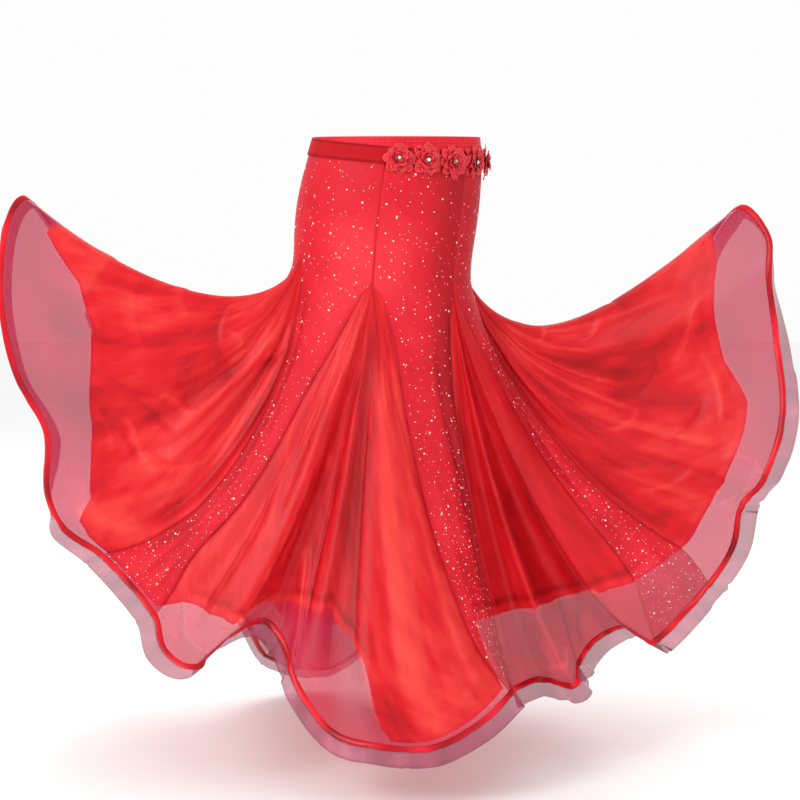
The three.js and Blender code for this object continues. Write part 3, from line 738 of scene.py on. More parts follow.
# Each patch is painted light or painted shade.
# u, v, half_u, half_v, tone
painted_light_patches = {
    "godet_left": [
        (0.20, 0.83, 0.34, 0.055, -0.38),
        (0.18, 0.46, 0.30, 0.10, -0.12),
        (-0.10, 0.24, 0.40, 0.10, 0.12),
        (-0.12, 0.55, 0.10, 0.16, 0.16),
        (0.02, 0.56, 0.05, 0.20, -0.14),
        (0.66, 0.64, 0.26, 0.14, 0.34),
        (0.12, 0.68, 0.22, 0.08, 0.22),
        (-0.34, 0.70, 0.24, 0.12, 0.08),
        (-0.20, 0.85, 0.14, 0.06, 0.20),
        (0.90, 0.86, 0.10, 0.06, 0.35),
        (0.42, 0.66, 0.12, 0.06, -0.14),
    ],
    "godet_front": [
        (-0.50, 0.60, 0.40, 0.24, -0.14),
        (0.18, 0.40, 0.15, 0.30, -0.34),
        (0.62, 0.70, 0.20, 0.30, 0.22),
        (0.85, 0.90, 0.25, 0.12, 0.16),
        (0.00, 0.16, 0.40, 0.08, 0.10),
        (0.45, 0.90, 0.14, 0.08, -0.22),
    ],
    "godet_front_right": [
        (0.0, 0.42, 1.60, 0.44, -0.34),
    ],
    "godet_right": [
        (-0.50, 0.40, 0.80, 0.22, -0.22),
        (0.10, 0.62, 0.30, 0.18, -0.12),
        (-0.45, 0.62, 0.16, 0.08, -0.22),
        (-0.20, 0.86, 0.30, 0.08, 0.10),
        (-0.74, 0.78, 0.08, 0.10, -0.18),
        (0.30, 0.90, 0.20, 0.10, 0.16),
        (-0.52, 0.90, 0.16, 0.04, 0.28),
    ],
    "gore_front": [
        (0.80, -0.10, 0.50, 0.50, -0.62),
        (0.85, 0.50, 0.35, 0.40, -0.45),
        (-0.85, -0.06, 0.70, 0.09, 0.60),
    ],
    "gore_front_left": [
        (-0.80, 0.40, 0.30, 0.40, -0.25),
        (0.85, -0.06, 0.90, 0.09, 0.60),
    ],
    "gore_right": [
        (0.0, -0.10, 1.60, 0.30, -0.40),
        (0.0, 0.50, 1.20, 0.30, -0.15),
    ],
}
for name, rows in painted_light_patches.items():
    columns, u, half_width = panels[name]
    inside = np.clip((1 - np.abs(u)) * half_width / 3 + 0.5, 0, 1)
    for u0, v0, half_u, half_v, light in rows:
        reach = ((u - u0) / half_u) ** 2 + ((flare_share[:, None] - v0) / half_v) ** 2
        tone[:, columns] += light * np.exp(-reach) * inside
tone = TONE_LIMIT * np.tanh(tone / TONE_LIMIT)
print("tone from", round(tone.min(), 2), "to", round(tone.max(), 2))

# %% [markdown]
# A seam pulls the cloth in a little on both sides. That fine valley is what draws the long lines
# from each godet's point to the hem, and it is painted darker as well, as painted shade in the valley.

# %% Seams
SEAM_DEPTH = 1.6
SEAM_WIDTH = 4.0
SEAM_PAINTED_SHADE = 0.38
valley = np.zeros((ROWS, COLUMNS))
for name, (columns, u, half_width) in panels.items():
    if name.startswith("gore"):
        away = np.abs((1 - np.abs(u)) * half_width)
        valley[:, columns] = np.maximum(valley[:, columns], np.exp(-((away / SEAM_WIDTH) ** 2)))
apart = np.clip(flare_share * 12, 0, 1)[:, None]      # above the points a seam hardly shows
relief -= SEAM_DEPTH * valley * apart
# Painted shade along the seam valleys.
tone -= SEAM_PAINTED_SHADE * valley * apart
cloth = form + normals * relief[..., None]
cloth_out = outward(cloth)
print("cloth rows:", len(cloth))

# %% [markdown]
# Where no lining lies behind it, organza shows the air behind, and its own dye looks cooler. So the
# form also needs to know where the lining ends. The table gives how far above the hem that is, at
# each station.

# %% Where the lining ends
short_rows = table(("at", "short"), [
    (-0.43, 128), (-0.25, 150), (-0.12, 70), (-0.05, 62), (0.00, 138), (0.05, 158), (0.10, 143),
    (0.15, 121), (0.20, 88), (0.25, 66), (0.30, 68), (0.335, 62), (0.35, 32), (0.385, 24),
    (0.40, 10), (0.50, 6), (0.555, 8), (0.57, 48), (0.60, 77), (0.65, 102), (0.70, 92),
    (0.75, 42), (0.84, 30), (0.90, 60), (0.95, 100), (1.00, 150), (1.08, 155), (1.13, 120),
    (1.16, 40), (1.19, 10), (1.30, 10), (1.44, 10), (1.45, 122), (1.55, 120), (1.65, 120),
    (1.75, 142), (1.85, 120), (1.95, 98), (2.10, 82), (2.20, 81), (2.30, 98), (2.40, 122),
    (2.46, 112), (2.50, 96), (2.60, 86), (2.70, 50), (2.80, 70), (2.90, 58), (2.95, 92),
    (3.05, 109), (3.12, 60), (3.25, 110), (3.60, 130), (4.00, 125), (4.40, 140), (4.80, 120),
    (5.20, 130),
])
short_at = np.concatenate([short_rows["at"] + lap * STATIONS for lap in (-1, 0, 1)])
short_mm = np.interp(station, short_at, np.tile(short_rows["short"], 3))


def lengths_down(points):
    """How far each point is from the top of its column, along the cloth."""
    steps = np.linalg.norm(np.diff(points, axis=0), axis=-1)
    return np.concatenate([np.zeros((1, points.shape[1])), np.cumsum(steps, axis=0)])


along = lengths_down(cloth)
lining_stop = along[-1] - short_mm
above_edge = lining_stop - along
sheer = np.clip(0.5 - above_edge / 10, 0, 1) * (1 - 0.8 * valley ** 2)
HEM_BAND, EDGE_BAND = 14, 15       # the lining's turned-up edge, and its single layer below that
EDGE_STRENGTH = 0.6                # how much of it shows through the organza


def edge_tone(above):
    """Darker over the doubled edge of the lining, lighter over the single layer below it."""
    double = np.clip((above - EDGE_BAND) / 3, 0, 1) * np.clip((EDGE_BAND + HEM_BAND - above) / 3, 0, 1)
    single = np.clip(above / 3, 0, 1) * np.clip((EDGE_BAND - above) / 3, 0, 1)
    return 0.3 * single - 0.5 * double


front_share = np.clip((2.6 - station) / 0.1, 0, 1) * np.clip((station - 0.5) / 0.1, 0, 1)
shows_edge = np.clip((short_mm - 25) / 20, 0, 1) * (0.15 + 0.85 * front_share)
tone += EDGE_STRENGTH * edge_tone(above_edge) * shows_edge
print("sheer share of the skirt:", round(float(sheer.mean()), 2))


# %% Sampling the form
def between(grid, row, column):
    """The value at a fractional row and column, a mean of the four round it."""
    r = np.clip(row.astype(int), 0, ROWS - 2)
    c = np.floor(column).astype(int)
    a, b = row - r, column - c
    if grid.ndim == 3:
        a, b = a[..., None], b[..., None]
    c0, c1 = c % COLUMNS, (c + 1) % COLUMNS
    top = grid[r, c0] * (1 - b) + grid[r, c1] * b
    low = grid[r + 1, c0] * (1 - b) + grid[r + 1, c1] * b
    return top * (1 - a) + low * a


def panel_place(name, u, first_row=0):
    """Fractional rows and columns of a panel's own grid, with even steps from seam to seam."""
    left, right = edges[name]
    rows = np.arange(first_row, ROWS)
    across = left[rows, None] + (u[None, :] + 1) / 2 * (right - left)[rows, None]
    columns = np.stack([np.interp(line, arc[r], arc_column) for line, r in zip(across, rows)])
    return rows[:, None] + 0.0 * columns, columns


print("sampling ready")

# %% [markdown]
# ## Making a wall of cloth
# A sheet becomes a thin closed wall: one grid moved out by half its thickness, one moved in, and
# four strips round the edge. A Solidify modifier does the same, but here the two sides have to
# close up at some seams. Everything is index arithmetic on whole arrays.


# %% Wall helper
def grid_quads(rows, columns, start=0, flip=False):
    """The corner numbers of each cell: here, below, below and across, across."""
    r, c = np.meshgrid(np.arange(rows - 1), np.arange(columns - 1), indexing="ij")
    here = (start + r * columns + c).ravel()
    quads = np.stack([here, here + columns, here + columns + 1, here + 1], axis=1)
    return quads[:, ::-1] if flip else quads


def rim_quads(line, back):
    """A strip between two lines of corners, one on the outer grid and one on the inner."""
    return np.stack([line[:-1], line[1:], back[1:], back[:-1]], axis=1)


def wall_mesh(points, out, thickness, pressed=0):
    """The corners and faces of a closed wall round a grid of points. The last value is the number
    of faces on the two sides, which come first; the rest are the rim. In the first pressed rows
    the inner side comes up to the outer one at the seams, so that no cut edge shows there."""
    rows, columns = points.shape[:2]
    outer = (points + out * thickness / 2).reshape(-1, 3)
    depth = np.full((rows, columns, 1), thickness / 2)
    depth[:pressed, [0, -1]] = 0.05 - thickness / 2
    inner = (points - out * depth).reshape(-1, 3)
    index = np.arange(rows * columns).reshape(rows, columns)
    far = index + rows * columns
    faces = [
        grid_quads(rows, columns),
        grid_quads(rows, columns, rows * columns, flip=True),
        rim_quads(index[0, :], far[0, :]),
        rim_quads(far[-1, :], index[-1, :]),
        rim_quads(far[:, 0], index[:, 0]),
        rim_quads(index[:, -1], far[:, -1]),
    ]
    return np.concatenate([outer, inner]), np.concatenate(faces), 2 * len(faces[0])


def make_piece(name, points, faces, material, uv=None, values=None, smooth=None):
    """Puts arrays into a mesh. uv and values hold one entry for each corner point. smooth is the
    number of faces that are shaded smooth, all of them if it isn't given."""
    mesh = bpy.data.meshes.new(name)
    corners_per_face = faces.shape[1]
    mesh.vertices.add(len(points))
    mesh.vertices.foreach_set("co", (points * MM).astype(np.float32).ravel())
    mesh.loops.add(faces.size)
    mesh.loops.foreach_set("vertex_index", faces.astype(np.int32).ravel())
    mesh.polygons.add(len(faces))
    starts = np.arange(len(faces), dtype=np.int32) * corners_per_face
    mesh.polygons.foreach_set("loop_start", starts)
    mesh.update(calc_edges=True)
    if uv is not None:
        layer = mesh.uv_layers.new(name="cloth")
        layer.data.foreach_set("uv", uv[faces.ravel()].astype(np.float32).ravel())
    for key, array in (values or {}).items():
        attribute = mesh.attributes.new(key, "FLOAT", "POINT")
        attribute.data.foreach_set("value", array.astype(np.float32).ravel())
    smooth = len(faces) if smooth is None else smooth
    mesh.polygons.foreach_set("use_smooth", np.arange(len(faces)) < smooth)
    mesh.materials.append(material)
    mesh.validate()
    piece = bpy.data.objects.new(name, mesh)
    bpy.context.scene.collection.objects.link(piece)
    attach(piece, BODY)
    return piece


print("helpers ready")

# %% [markdown]
# ## Materials
# Every cloth reads the same three facts from its mesh: the `cloth` map, which runs across and down
# the panel in metres, `tone`, the listed light and dark, which on the panels is mostly painted light
# and shade, and `sheer`, which is one where only air lies behind. A colour ramp turns tone into
# colour, and long thin noise along the threads breaks it up with painted light and shade of fine
# wrinkles. A painted texture could hold all this, but it would be large and tied to one panel size.


# %% Node helpers
class Nodes:
    """A few short calls for building a shader graph."""

    def __init__(self, name):
        self.material = bpy.data.materials.new(name)
        self.material.use_nodes = True
        self.tree = self.material.node_tree
        self.shader = self.tree.nodes["Principled BSDF"]

    def add(self, kind, **settings):
        node = self.tree.nodes.new(kind)
        for key, value in settings.items():
            setattr(node, key, value)
        return node

    def put(self, node, socket, value):
        if isinstance(value, bpy.types.NodeSocket):
            self.tree.links.new(value, node.inputs[socket])
        else:
            node.inputs[socket].default_value = value

    def maths(self, operation, a, b):
        node = self.add("ShaderNodeMath", operation=operation)
        self.put(node, 0, a)
        self.put(node, 1, b)
        return node.outputs[0]

    def swing(self, value, amount):
        """A value that runs from 0 to 1, turned into one that swings either side of zero."""
        return self.maths("MULTIPLY", self.maths("SUBTRACT", value, 0.5), amount)

    def attribute(self, name):
        return self.add("ShaderNodeAttribute", attribute_name=name).outputs["Fac"]

    def cloth_map(self, scale, turn=0.0):
        where = self.add("ShaderNodeUVMap", uv_map="cloth").outputs["UV"]
        if turn:
            turned = self.add("ShaderNodeMapping")
            self.put(turned, "Vector", where)
            turned.inputs["Rotation"].default_value = (0, 0, turn)
            where = turned.outputs["Vector"]
        mapping = self.add("ShaderNodeMapping")
        self.put(mapping, "Vector", where)
        mapping.inputs["Scale"].default_value = scale
        return mapping.outputs["Vector"]

    def noise(self, vector, scale, detail=3.0, roughness=0.5, distortion=0.0):
        node = self.add("ShaderNodeTexNoise")
        node.inputs["Distortion"].default_value = distortion
        self.put(node, "Vector", vector)
        node.inputs["Scale"].default_value = scale
        node.inputs["Detail"].default_value = detail
        node.inputs["Roughness"].default_value = roughness
        return node.outputs["Fac"]

    def ramp(self, factor, stops):
        node = self.add("ShaderNodeValToRGB")
        self.put(node, "Fac", factor)
        ramp = node.color_ramp
        while len(ramp.elements) < len(stops):
            ramp.elements.new(0.5)
        for element, (place, colour) in zip(ramp.elements, stops):
            element.position = place
            element.color = (*colour, 1)
        return node.outputs["Color"]

    def bump(self, height, distance, strength, below=None):
        node = self.add("ShaderNodeBump")
        self.put(node, "Height", height)
        node.inputs["Distance"].default_value = distance
        node.inputs["Strength"].default_value = strength
        if below is not None:
            self.put(node, "Normal", below)
        return node.outputs["Normal"]

    def set(self, **values):
        for key, value in values.items():
            self.put(self.shader, key.replace("_", " "), value)


def srgb(red, green, blue):
    """A colour as it looks on a screen, turned into amounts of light."""
    values = np.array([red, green, blue]) / 255
    return tuple(np.where(values <= 0.04045, values / 12.92, ((values + 0.055) / 1.055) ** 2.4))


print("node helpers ready")


# %% Cloth materials
STREAKS, CRINKLES, CLOUDS = (34, 3.2, 1), (52, 15, 1), (7, 6, 1)    # spots in a metre, across and down
THREADS = (900, 900, 1)
CRINKLE_SLANT = 0.35
SHEEN_TINT = (1.0, 0.30, 0.28, 1)


def cloth_material(name, deep, middle, light, cool, alpha, roughness, sheen, streak, weave):
    """Tone, which on the panels is mostly painted light and shade, plus a streaky noise picks the
    colour, mixed with a cooler one where nothing lies behind. The streak and crinkle noise in the colour
    is painted light and shade of fine wrinkles. The streaks and a fine weave are also relief."""
    n = Nodes(name)
    streaks = n.noise(n.cloth_map(STREAKS), 1.0, 4.0, 0.55)
    crinkles = n.noise(n.cloth_map(CRINKLES, CRINKLE_SLANT), 1.0, 3.0, 0.5, 0.25)
    clouds = n.noise(n.cloth_map(CLOUDS), 1.0, 2.0, 0.5)
    # The streak and crinkle noise in the colour is painted light and shade of fine wrinkles.
    lift = n.maths("ADD", n.swing(streaks, streak), n.swing(crinkles, streak * 0.9))
    half_tone = n.maths("MULTIPLY", n.attribute("tone"), 0.5)
    level = n.maths("ADD", n.maths("ADD", half_tone, 0.5), n.maths("ADD", lift, n.swing(clouds, 0.5)))
    # The deep end of the ramp serves mostly as painted shade and the light end as painted highlight.
    dye_and_painted_light = n.ramp(level, [(0.08, deep), (0.5, middle), (0.95, light)])
    shades = [tuple(share * c for c in cool) for share in (0.6, 1.4)]
    airy = n.ramp(n.maths("ADD", half_tone, clouds), [(0.1, shades[0]), (0.9, shades[1])])
    mix = n.add("ShaderNodeMix", data_type="RGBA")
    for socket, value in ((0, n.attribute("sheer")), (6, dye_and_painted_light), (7, airy)):
        n.put(mix, socket, value)
    threads = n.noise(n.cloth_map(THREADS), 1.0, 1.0)
    surface = n.bump(streaks, 0.003, 0.3)
    surface = n.bump(crinkles, 0.002, 0.5 * streak, surface)
    surface = n.bump(threads, 0.0006, weave, surface)
    rough = n.maths("ADD", n.maths("MULTIPLY", streaks, 0.16), roughness - 0.08)
    n.set(Base_Color=mix.outputs[2], Normal=surface, Roughness=rough)
    n.set(Alpha=alpha, Sheen_Weight=sheen, Sheen_Roughness=0.35)
    n.shader.inputs["Sheen Tint"].default_value = SHEEN_TINT
    n.shader.inputs["Specular IOR Level"].default_value = 0.22
    return n.material


# deep, mostly painted shade; middle; light, mostly painted highlight; and the cooler one for sheer
# places
DYES_AND_PAINTED_LIGHT = {
    "organza": ((152, 4, 12), (224, 26, 38), (254, 84, 76), (182, 18, 66)),
    "knit": ((152, 4, 18), (218, 24, 44), (250, 68, 78), (188, 16, 56)),
    "lining": ((172, 6, 14), (234, 22, 28), (252, 58, 50), (234, 22, 28)),
    "satin": ((120, 2, 12), (190, 4, 24), (232, 30, 48), (190, 4, 24)),
    "felt": ((110, 2, 8), (176, 8, 20), (206, 24, 36), (176, 8, 20)),
}
# dye and painted light, alpha, roughness, sheen, streak (painted wrinkle light and shade, and crinkle
# relief), weave
FINISHES = {
    "organza_cloth": ("organza", 0.60, 0.36, 0.12, 0.55, 0.25),
    "organza_over_back": ("organza", 0.74, 0.36, 0.12, 0.40, 0.25),
    "sparkle_knit_cloth": ("knit", 0.78, 0.55, 0.15, 0.22, 0.45),
    "waistband_knit": ("knit", 1.0, 0.55, 0.15, 0.22, 0.45),
    "lining_cloth": ("lining", 1.0, 0.60, 0.10, 0.20, 0.30),
    "binding_satin": ("satin", 1.0, 0.28, 0.10, 0.50, 0.30),
    "belt_felt": ("felt", 1.0, 0.85, 0.20, 0.30, 0.60),
}
cloths = [
    cloth_material(name, *[srgb(*colour) for colour in DYES_AND_PAINTED_LIGHT[dye_and_painted_light]], *finish)
    for name, (dye_and_painted_light, *finish) in FINISHES.items()
]
organza, organza_dense, knit, knit_double, lining_cloth, satin, felt = cloths
print("cloth materials:", len(cloths))

# %% [markdown]
# The braid is horsehair braid: a plaited tube of stiff clear thread, pressed flat. Its threads
# cross on the slant, which two sets of fine stripes show, and it is denser at its two edges. Real
# threads as geometry would be far too many, so they are relief in the material.


# %% Braid material
BRAID_THREADS = 520


def braid_material():
    n = Nodes("braid_net")
    stripes = []
    for slope in (BRAID_THREADS, -BRAID_THREADS):
        where = n.cloth_map((slope, BRAID_THREADS, 1))
        split = n.add("ShaderNodeSeparateXYZ")
        n.put(split, "Vector", where)
        line = n.maths("SINE", n.maths("ADD", split.outputs[0], split.outputs[1]), 0)
        stripes.append(line)
    net = n.maths("MAXIMUM", stripes[0], stripes[1])
    clouds = n.noise(n.cloth_map((14, 40, 1)), 1.0, 2.0)
    level = n.maths("ADD", n.maths("MULTIPLY", n.attribute("tone"), 0.5), clouds)
    pinks = [(0.1, srgb(116, 16, 42)), (0.5, srgb(162, 40, 84)), (0.9, srgb(200, 84, 116))]
    n.set(Base_Color=n.ramp(level, pinks), Normal=n.bump(net, 0.0004, 0.4), Roughness=0.42, Alpha=0.52)
    n.set(Sheen_Weight=0.2)
    return n.material


braid_net = braid_material()
print("braid material ready")

# %% [markdown]
# ## The twelve panels
# A panel is a slice of the form's columns. It is drawn in by a hair at each side, so that the
# pieces stay apart in the mesh as they are in the pattern. A godet starts in the row where the
# relaxed lines have just begun to part.

# %% Build the panels
SEAM_GAP = 0.06
ORGANZA_WALL = 0.5
KNIT_WALL = 0.9


def drawn_in(points, rows_closed=0):
    """Moves the first and last columns towards their neighbours by the seam's half gap. In the
    first rows, above the godets' points, the flat seam is pressed shut."""
    points = points.copy()
    gap = np.where(np.arange(len(points)) < rows_closed, 0.01, SEAM_GAP)[:, None]
    for edge, neighbour in ((0, 1), (-1, -2)):
        side = points[:, neighbour] - points[:, edge]
        length = np.linalg.norm(side, axis=-1, keepdims=True)
        points[:, edge] += side * np.minimum(gap / np.maximum(length, 1e-6), 0.4)
    return points


def cloth_uv(points):
    """Across and down in metres, measured along the middle row and the middle column."""
    middle_column = points[:, points.shape[1] // 2]
    down = np.linalg.norm(np.diff(middle_column, axis=0), axis=-1)
    v = np.concatenate([[0], np.cumsum(down)])
    widest = points[int(points.shape[0] * 0.6)]
    u = np.linspace(-0.5, 0.5, points.shape[1]) * np.linalg.norm(np.diff(widest, axis=0), axis=-1).sum()
    grid = np.stack(np.meshgrid(u, v), axis=-1) * MM
    return grid.reshape(-1, 2)


def flat_area(points):
    """The sheet's own area: half the cross product of each cell's diagonals, in square metres."""
    a = points[1:, 1:] - points[:-1, :-1]
    b = points[1:, :-1] - points[:-1, 1:]
    return float(0.5 * np.linalg.norm(np.cross(a, b), axis=-1).sum()) * MM * MM


def unit(vectors):
    return vectors / np.maximum(np.linalg.norm(vectors, axis=-1, keepdims=True), 1e-9)


def build_sheet(name, points, out, facts, thickness, material, pressed=0):
    corners, faces, smooth = wall_mesh(points, out, thickness, pressed)
    uv = np.tile(cloth_uv(points), (2, 1))
    values = {key: np.tile(array.ravel(), 2) for key, array in facts.items()}
    return make_piece(name, corners, faces, material, uv, values, smooth)


GODET_MESH, HIDDEN_MESH, GORE_MESH = 150, 84, 34          # cells across a panel
CLOTH_BEHIND = {"godet_front_right": 0.35, "godet_front": 0.25}   # the back shows through these
cloth_of = {"godet_front_right": organza_dense}
for name, (left, right) in edges.items():
    is_godet = name.startswith("godet")
    first_row = int(np.argmax(right - left > POINT_WIDTH)) if is_godet else 0
    cells = GORE_MESH if not is_godet else HIDDEN_MESH if "back" in name else GODET_MESH
    u = np.linspace(-1, 1, cells + 1)
    place = panel_place(name, u, first_row)
    closed = 0 if is_godet else BODY_ROWS
    points, out = drawn_in(between(cloth, *place), closed), unit(between(cloth_out, *place))
    behind = CLOTH_BEHIND.get(name, 0)
    facts = {"tone": between(tone, *place), "sheer": between(sheer, *place) * (1 - behind)}
    size = ((right - left).max() * MM, lengths_down(points)[-1, cells // 2] * MM)
    prefix = "sheer_" if is_godet else "knit_"
    wall = ORGANZA_WALL if is_godet else KNIT_WALL
    dyed = cloth_of.get(name, organza if is_godet else knit)
    piece = build_sheet(prefix + name, points, out, facts, wall, dyed, closed)
    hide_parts(name)
    print(piece.name, "area", round(flat_area(points), 3), "width, length", np.round(size, 2))

# %% [markdown]
# ## Lining
# The lining hangs just inside and stops short of the hem, in an uneven line. Each of its points is
# found at a share of the length that its column keeps. Its edge is turned up, and the two layers
# there look darker, with a lighter single layer below. Its cells are coarser than the outer
# cloth's, so its base is the lowest relief nearby, which keeps it inside in every narrow trough.

# %% Lining
LINING_ROWS = 92
LINING_STEP = 3            # every third column of the form
LINING_WALL = 0.6
TIGHT_INSET, HEM_INSET = 1.8, 7.0
lowest = relief
for shift in range(-5, 6):
    lowest = np.minimum(lowest, np.roll(relief, shift, axis=1))
for shift in (-3, -2, -1, 1, 2, 3):
    lowest = np.minimum(lowest, np.roll(lowest, shift, axis=0))
lining_form = form + normals * lowest[..., None]
for k in range(STATIONS):
    first = k * PER_STATION - GORE_COLUMNS // 2
    columns = np.arange(first, first + PER_STATION + 1, LINING_STEP)
    share = np.linspace(0, 1, LINING_ROWS + 1) ** 0.85
    rows = np.stack([
        np.interp(share * lining_stop[c], along[:, c], np.arange(ROWS)) for c in columns % COLUMNS
    ], axis=1)
    place = (rows, columns[None, :] + 0 * rows)
    out = unit(between(normals, *place))
    inset = TIGHT_INSET + (HEM_INSET - TIGHT_INSET) * share[:, None, None] ** 1.5
    points = drawn_in(between(lining_form, *place) - out * inset)
    below = (1 - share)[:, None] * lining_stop[columns % COLUMNS]
    # Half of the painted light and shade of the organza over it, plus the real darker doubled edge and
    # lighter single layer.
    light = between(tone, *place) * 0.5 + edge_tone(below)
    name = "lining_" + GODETS[k]
    facts = {"tone": light, "sheer": 0 * light}
    piece = build_sheet("under_" + name, points, out, facts, LINING_WALL, lining_cloth)
    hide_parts(name)
    widest = lengths_down(points.transpose(1, 0, 2))[-1].max()
    size = widest * MM, lengths_down(points)[-1, len(columns) // 2] * MM
    print(piece.name, "area", round(flat_area(points), 3), "width, length", np.round(size, 2))

# %% [markdown]
# ## Hem binding and braid
# The binding is a folded satin strip that covers the cut edge, and the braid is sewn outside it.
# Both are a small closed profile carried along the hem. The frame at each point of the hem is the
# cloth's outward direction, the direction on down the cloth, and the one square to the hem. A
# bevelled curve would be shorter to write, but it twists where the hem turns sharply.


# %% The hem's frame
hem_line = cloth[-1]
hem_out = cloth_out[-1]
hem_along = unit(np.roll(hem_line, -1, axis=0) - np.roll(hem_line, 1, axis=0))
hem_out = unit(hem_out - hem_along * (hem_out * hem_along).sum(-1, keepdims=True))
hem_square = unit(np.cross(hem_along, hem_out))
onward = cloth[-1] - cloth[-4]
hem_onward = unit(onward - hem_out * (onward * hem_out).sum(-1, keepdims=True))
hem_steps = np.linalg.norm(np.roll(hem_line, -1, axis=0) - hem_line, axis=-1)
hem_length = np.concatenate([[0], np.cumsum(hem_steps)])
print("hem length", round(hem_length[-1] * MM, 2), "m")


def swept_ring(name, sections, material, across_mm, light):
    """Joins a closed profile at each hem point to the next one, all the way round. sections has
    the shape hem points by profile points."""
    count, sides = sections.shape[:2]
    c, i = np.meshgrid(np.arange(count), np.arange(sides), indexing="ij")
    after, turn = (c + 1) % count, (i + 1) % sides
    faces = np.stack([c * sides + i, after * sides + i, after * sides + turn, c * sides + turn], -1)
    u = np.broadcast_to(hem_length[:-1, None] * MM, (count, sides))
    v = np.broadcast_to(across_mm[None, :] * MM, (count, sides))
    uv = np.stack([v, u], axis=-1).reshape(-1, 2)
    facts = {"tone": light.ravel(), "sheer": 0 * light.ravel()}
    return make_piece(name, sections.reshape(-1, 3), faces.reshape(-1, 4), material, uv, facts)


# %% Binding
BINDING_WIDTH = 10.2
BINDING_OVER = 1.0         # it covers this much of the cloth
BINDING_WALL = 2.6
binding_angle = np.linspace(0, 2 * np.pi, 10, endpoint=False)
rng = np.random.default_rng(11)


def slow_noise(count, waves, rng):
    """A sum of a few sine waves with random phases, which closes on itself."""
    place = np.linspace(0, 2 * np.pi, count, endpoint=False)
    phases = rng.uniform(0, 2 * np.pi, len(waves))
    sizes = rng.uniform(0.5, 1.0, len(waves))
    total = sum(s * np.sin(w * place + p) for w, s, p in zip(waves, sizes, phases))
    return total / sizes.sum()


pucker = 1 + 0.10 * slow_noise(COLUMNS, (61, 97, 143, 210), rng)
down_part = (0.5 - 0.5 * np.cos(binding_angle)) * BINDING_WIDTH
out_part = -np.sin(binding_angle) * BINDING_WALL / 2
binding_points = (
    hem_line[:, None]
    + hem_square[:, None] * (down_part * pucker[:, None] - BINDING_OVER)[..., None]
    + hem_out[:, None] * (out_part[None, :, None])
)
binding_light = 0.7 * slow_noise(COLUMNS, (31, 53, 87), rng)[:, None] + 0 * down_part[None, :]
binding = swept_ring("hem_satin_binding", binding_points, satin, down_part, binding_light)
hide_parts("hem_binding")
print("binding faces:", len(binding.data.polygons))

# %% Braid
BRAID_WIDTH = 27
BRAID_WALL = 0.7
BRAID_TUCK = 0.8           # it starts inside the binding's lower edge
BRAID_BEHIND = 5
BRAID_LINES = 7
fold = np.radians(np.clip(hem_value("fold", station), 0, 180))
fold_cos, fold_sin = np.cos(fold)[:, None], np.sin(fold)[:, None]
braid_along = hem_onward * fold_cos - hem_out * fold_sin
braid_across = hem_out * fold_cos + hem_onward * fold_sin
braid_top = hem_line + hem_square * (BINDING_WIDTH - BINDING_OVER - BRAID_TUCK)
braid_top = braid_top - hem_out * BRAID_BEHIND * (1 - fold_cos) / 2
share = np.linspace(0, 1, BRAID_LINES)
ripple = 1.6 * slow_noise(COLUMNS, (43, 71, 118), rng)[:, None] * share[None, :] ** 2
edge_bead = 0.35 * (share > 0.95)
front = np.stack([share * BRAID_WIDTH, BRAID_WALL / 2 + edge_bead], axis=1)
back = front[::-1] * np.array([1, -1])
profile = np.concatenate([front, back])
lift = np.concatenate([ripple, ripple[:, ::-1]], axis=1) + profile[None, :, 1]
braid_points = (
    braid_top[:, None]
    + braid_along[:, None] * profile[None, :, 0, None]
    + braid_across[:, None] * lift[..., None]
)
edge_tone = -0.6 * (np.abs(2 * profile[:, 0] / BRAID_WIDTH - 1) > 0.95)
braid_light = edge_tone[None, :] + 0.4 * slow_noise(COLUMNS, (17, 29, 47), rng)[:, None]
braid = swept_ring(
    "hem_horsehair_braid", braid_points[:, ::-1], braid_net, profile[::-1, 0], braid_light[:, ::-1]
)
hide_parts("hem_braid")
print("braid faces:", len(braid.data.polygons))

# %% [markdown]
# ## Glitter dots
# The knit is printed with small gold dots. Each is a low lens with six sides, so thousands of them
# stay light. Spots in the material would be flat and would blur from close by. The dots are
# scattered on a jittered grid, because printed glitter is even but not regular.

# %% Dot helper
DOT_SIDES = 6


def scatter(name, cell, keep, rng):
    """A cell by cell grid over the panel's real width and length, each point moved by chance and
    kept with a chance that rises from the waist to the hem. Gives rows and columns of the form."""
    rows, columns = panel_place(name, np.linspace(-1, 1, GORE_MESH + 1))
    left, right = edges[name]
    down = lengths_down(between(cloth, rows, columns))[:, GORE_MESH // 2]
    half_width = (right - left) / 2
    widest = half_width.max() * 2
    across = np.arange(-widest / 2, widest / 2, cell)
    x, y = np.meshgrid(across, np.arange(cell / 2, down[-1] - 4, cell))
    x = (x + rng.uniform(-0.48, 0.48, x.shape) * cell).ravel()
    y = np.clip((y + rng.uniform(-0.48, 0.48, y.shape) * cell).ravel(), 1, down[-1] - 3)
    half = np.interp(y, down, half_width)
    chance = np.interp(y / down[-1], [0, 0.35, 0.8, 1], [keep, keep, 1, 1])
    inside = (np.abs(x) < half - 3) & (rng.random(len(x)) < chance)
    row = np.interp(y[inside], down, np.arange(len(down)))
    mesh_column = (x[inside] / half[inside] + 1) / 2 * GORE_MESH
    r, c = row.astype(int), np.minimum(mesh_column.astype(int), GORE_MESH - 1)
    b = mesh_column - c
    return row, columns[r, c] * (1 - b) + columns[r, c + 1] * b


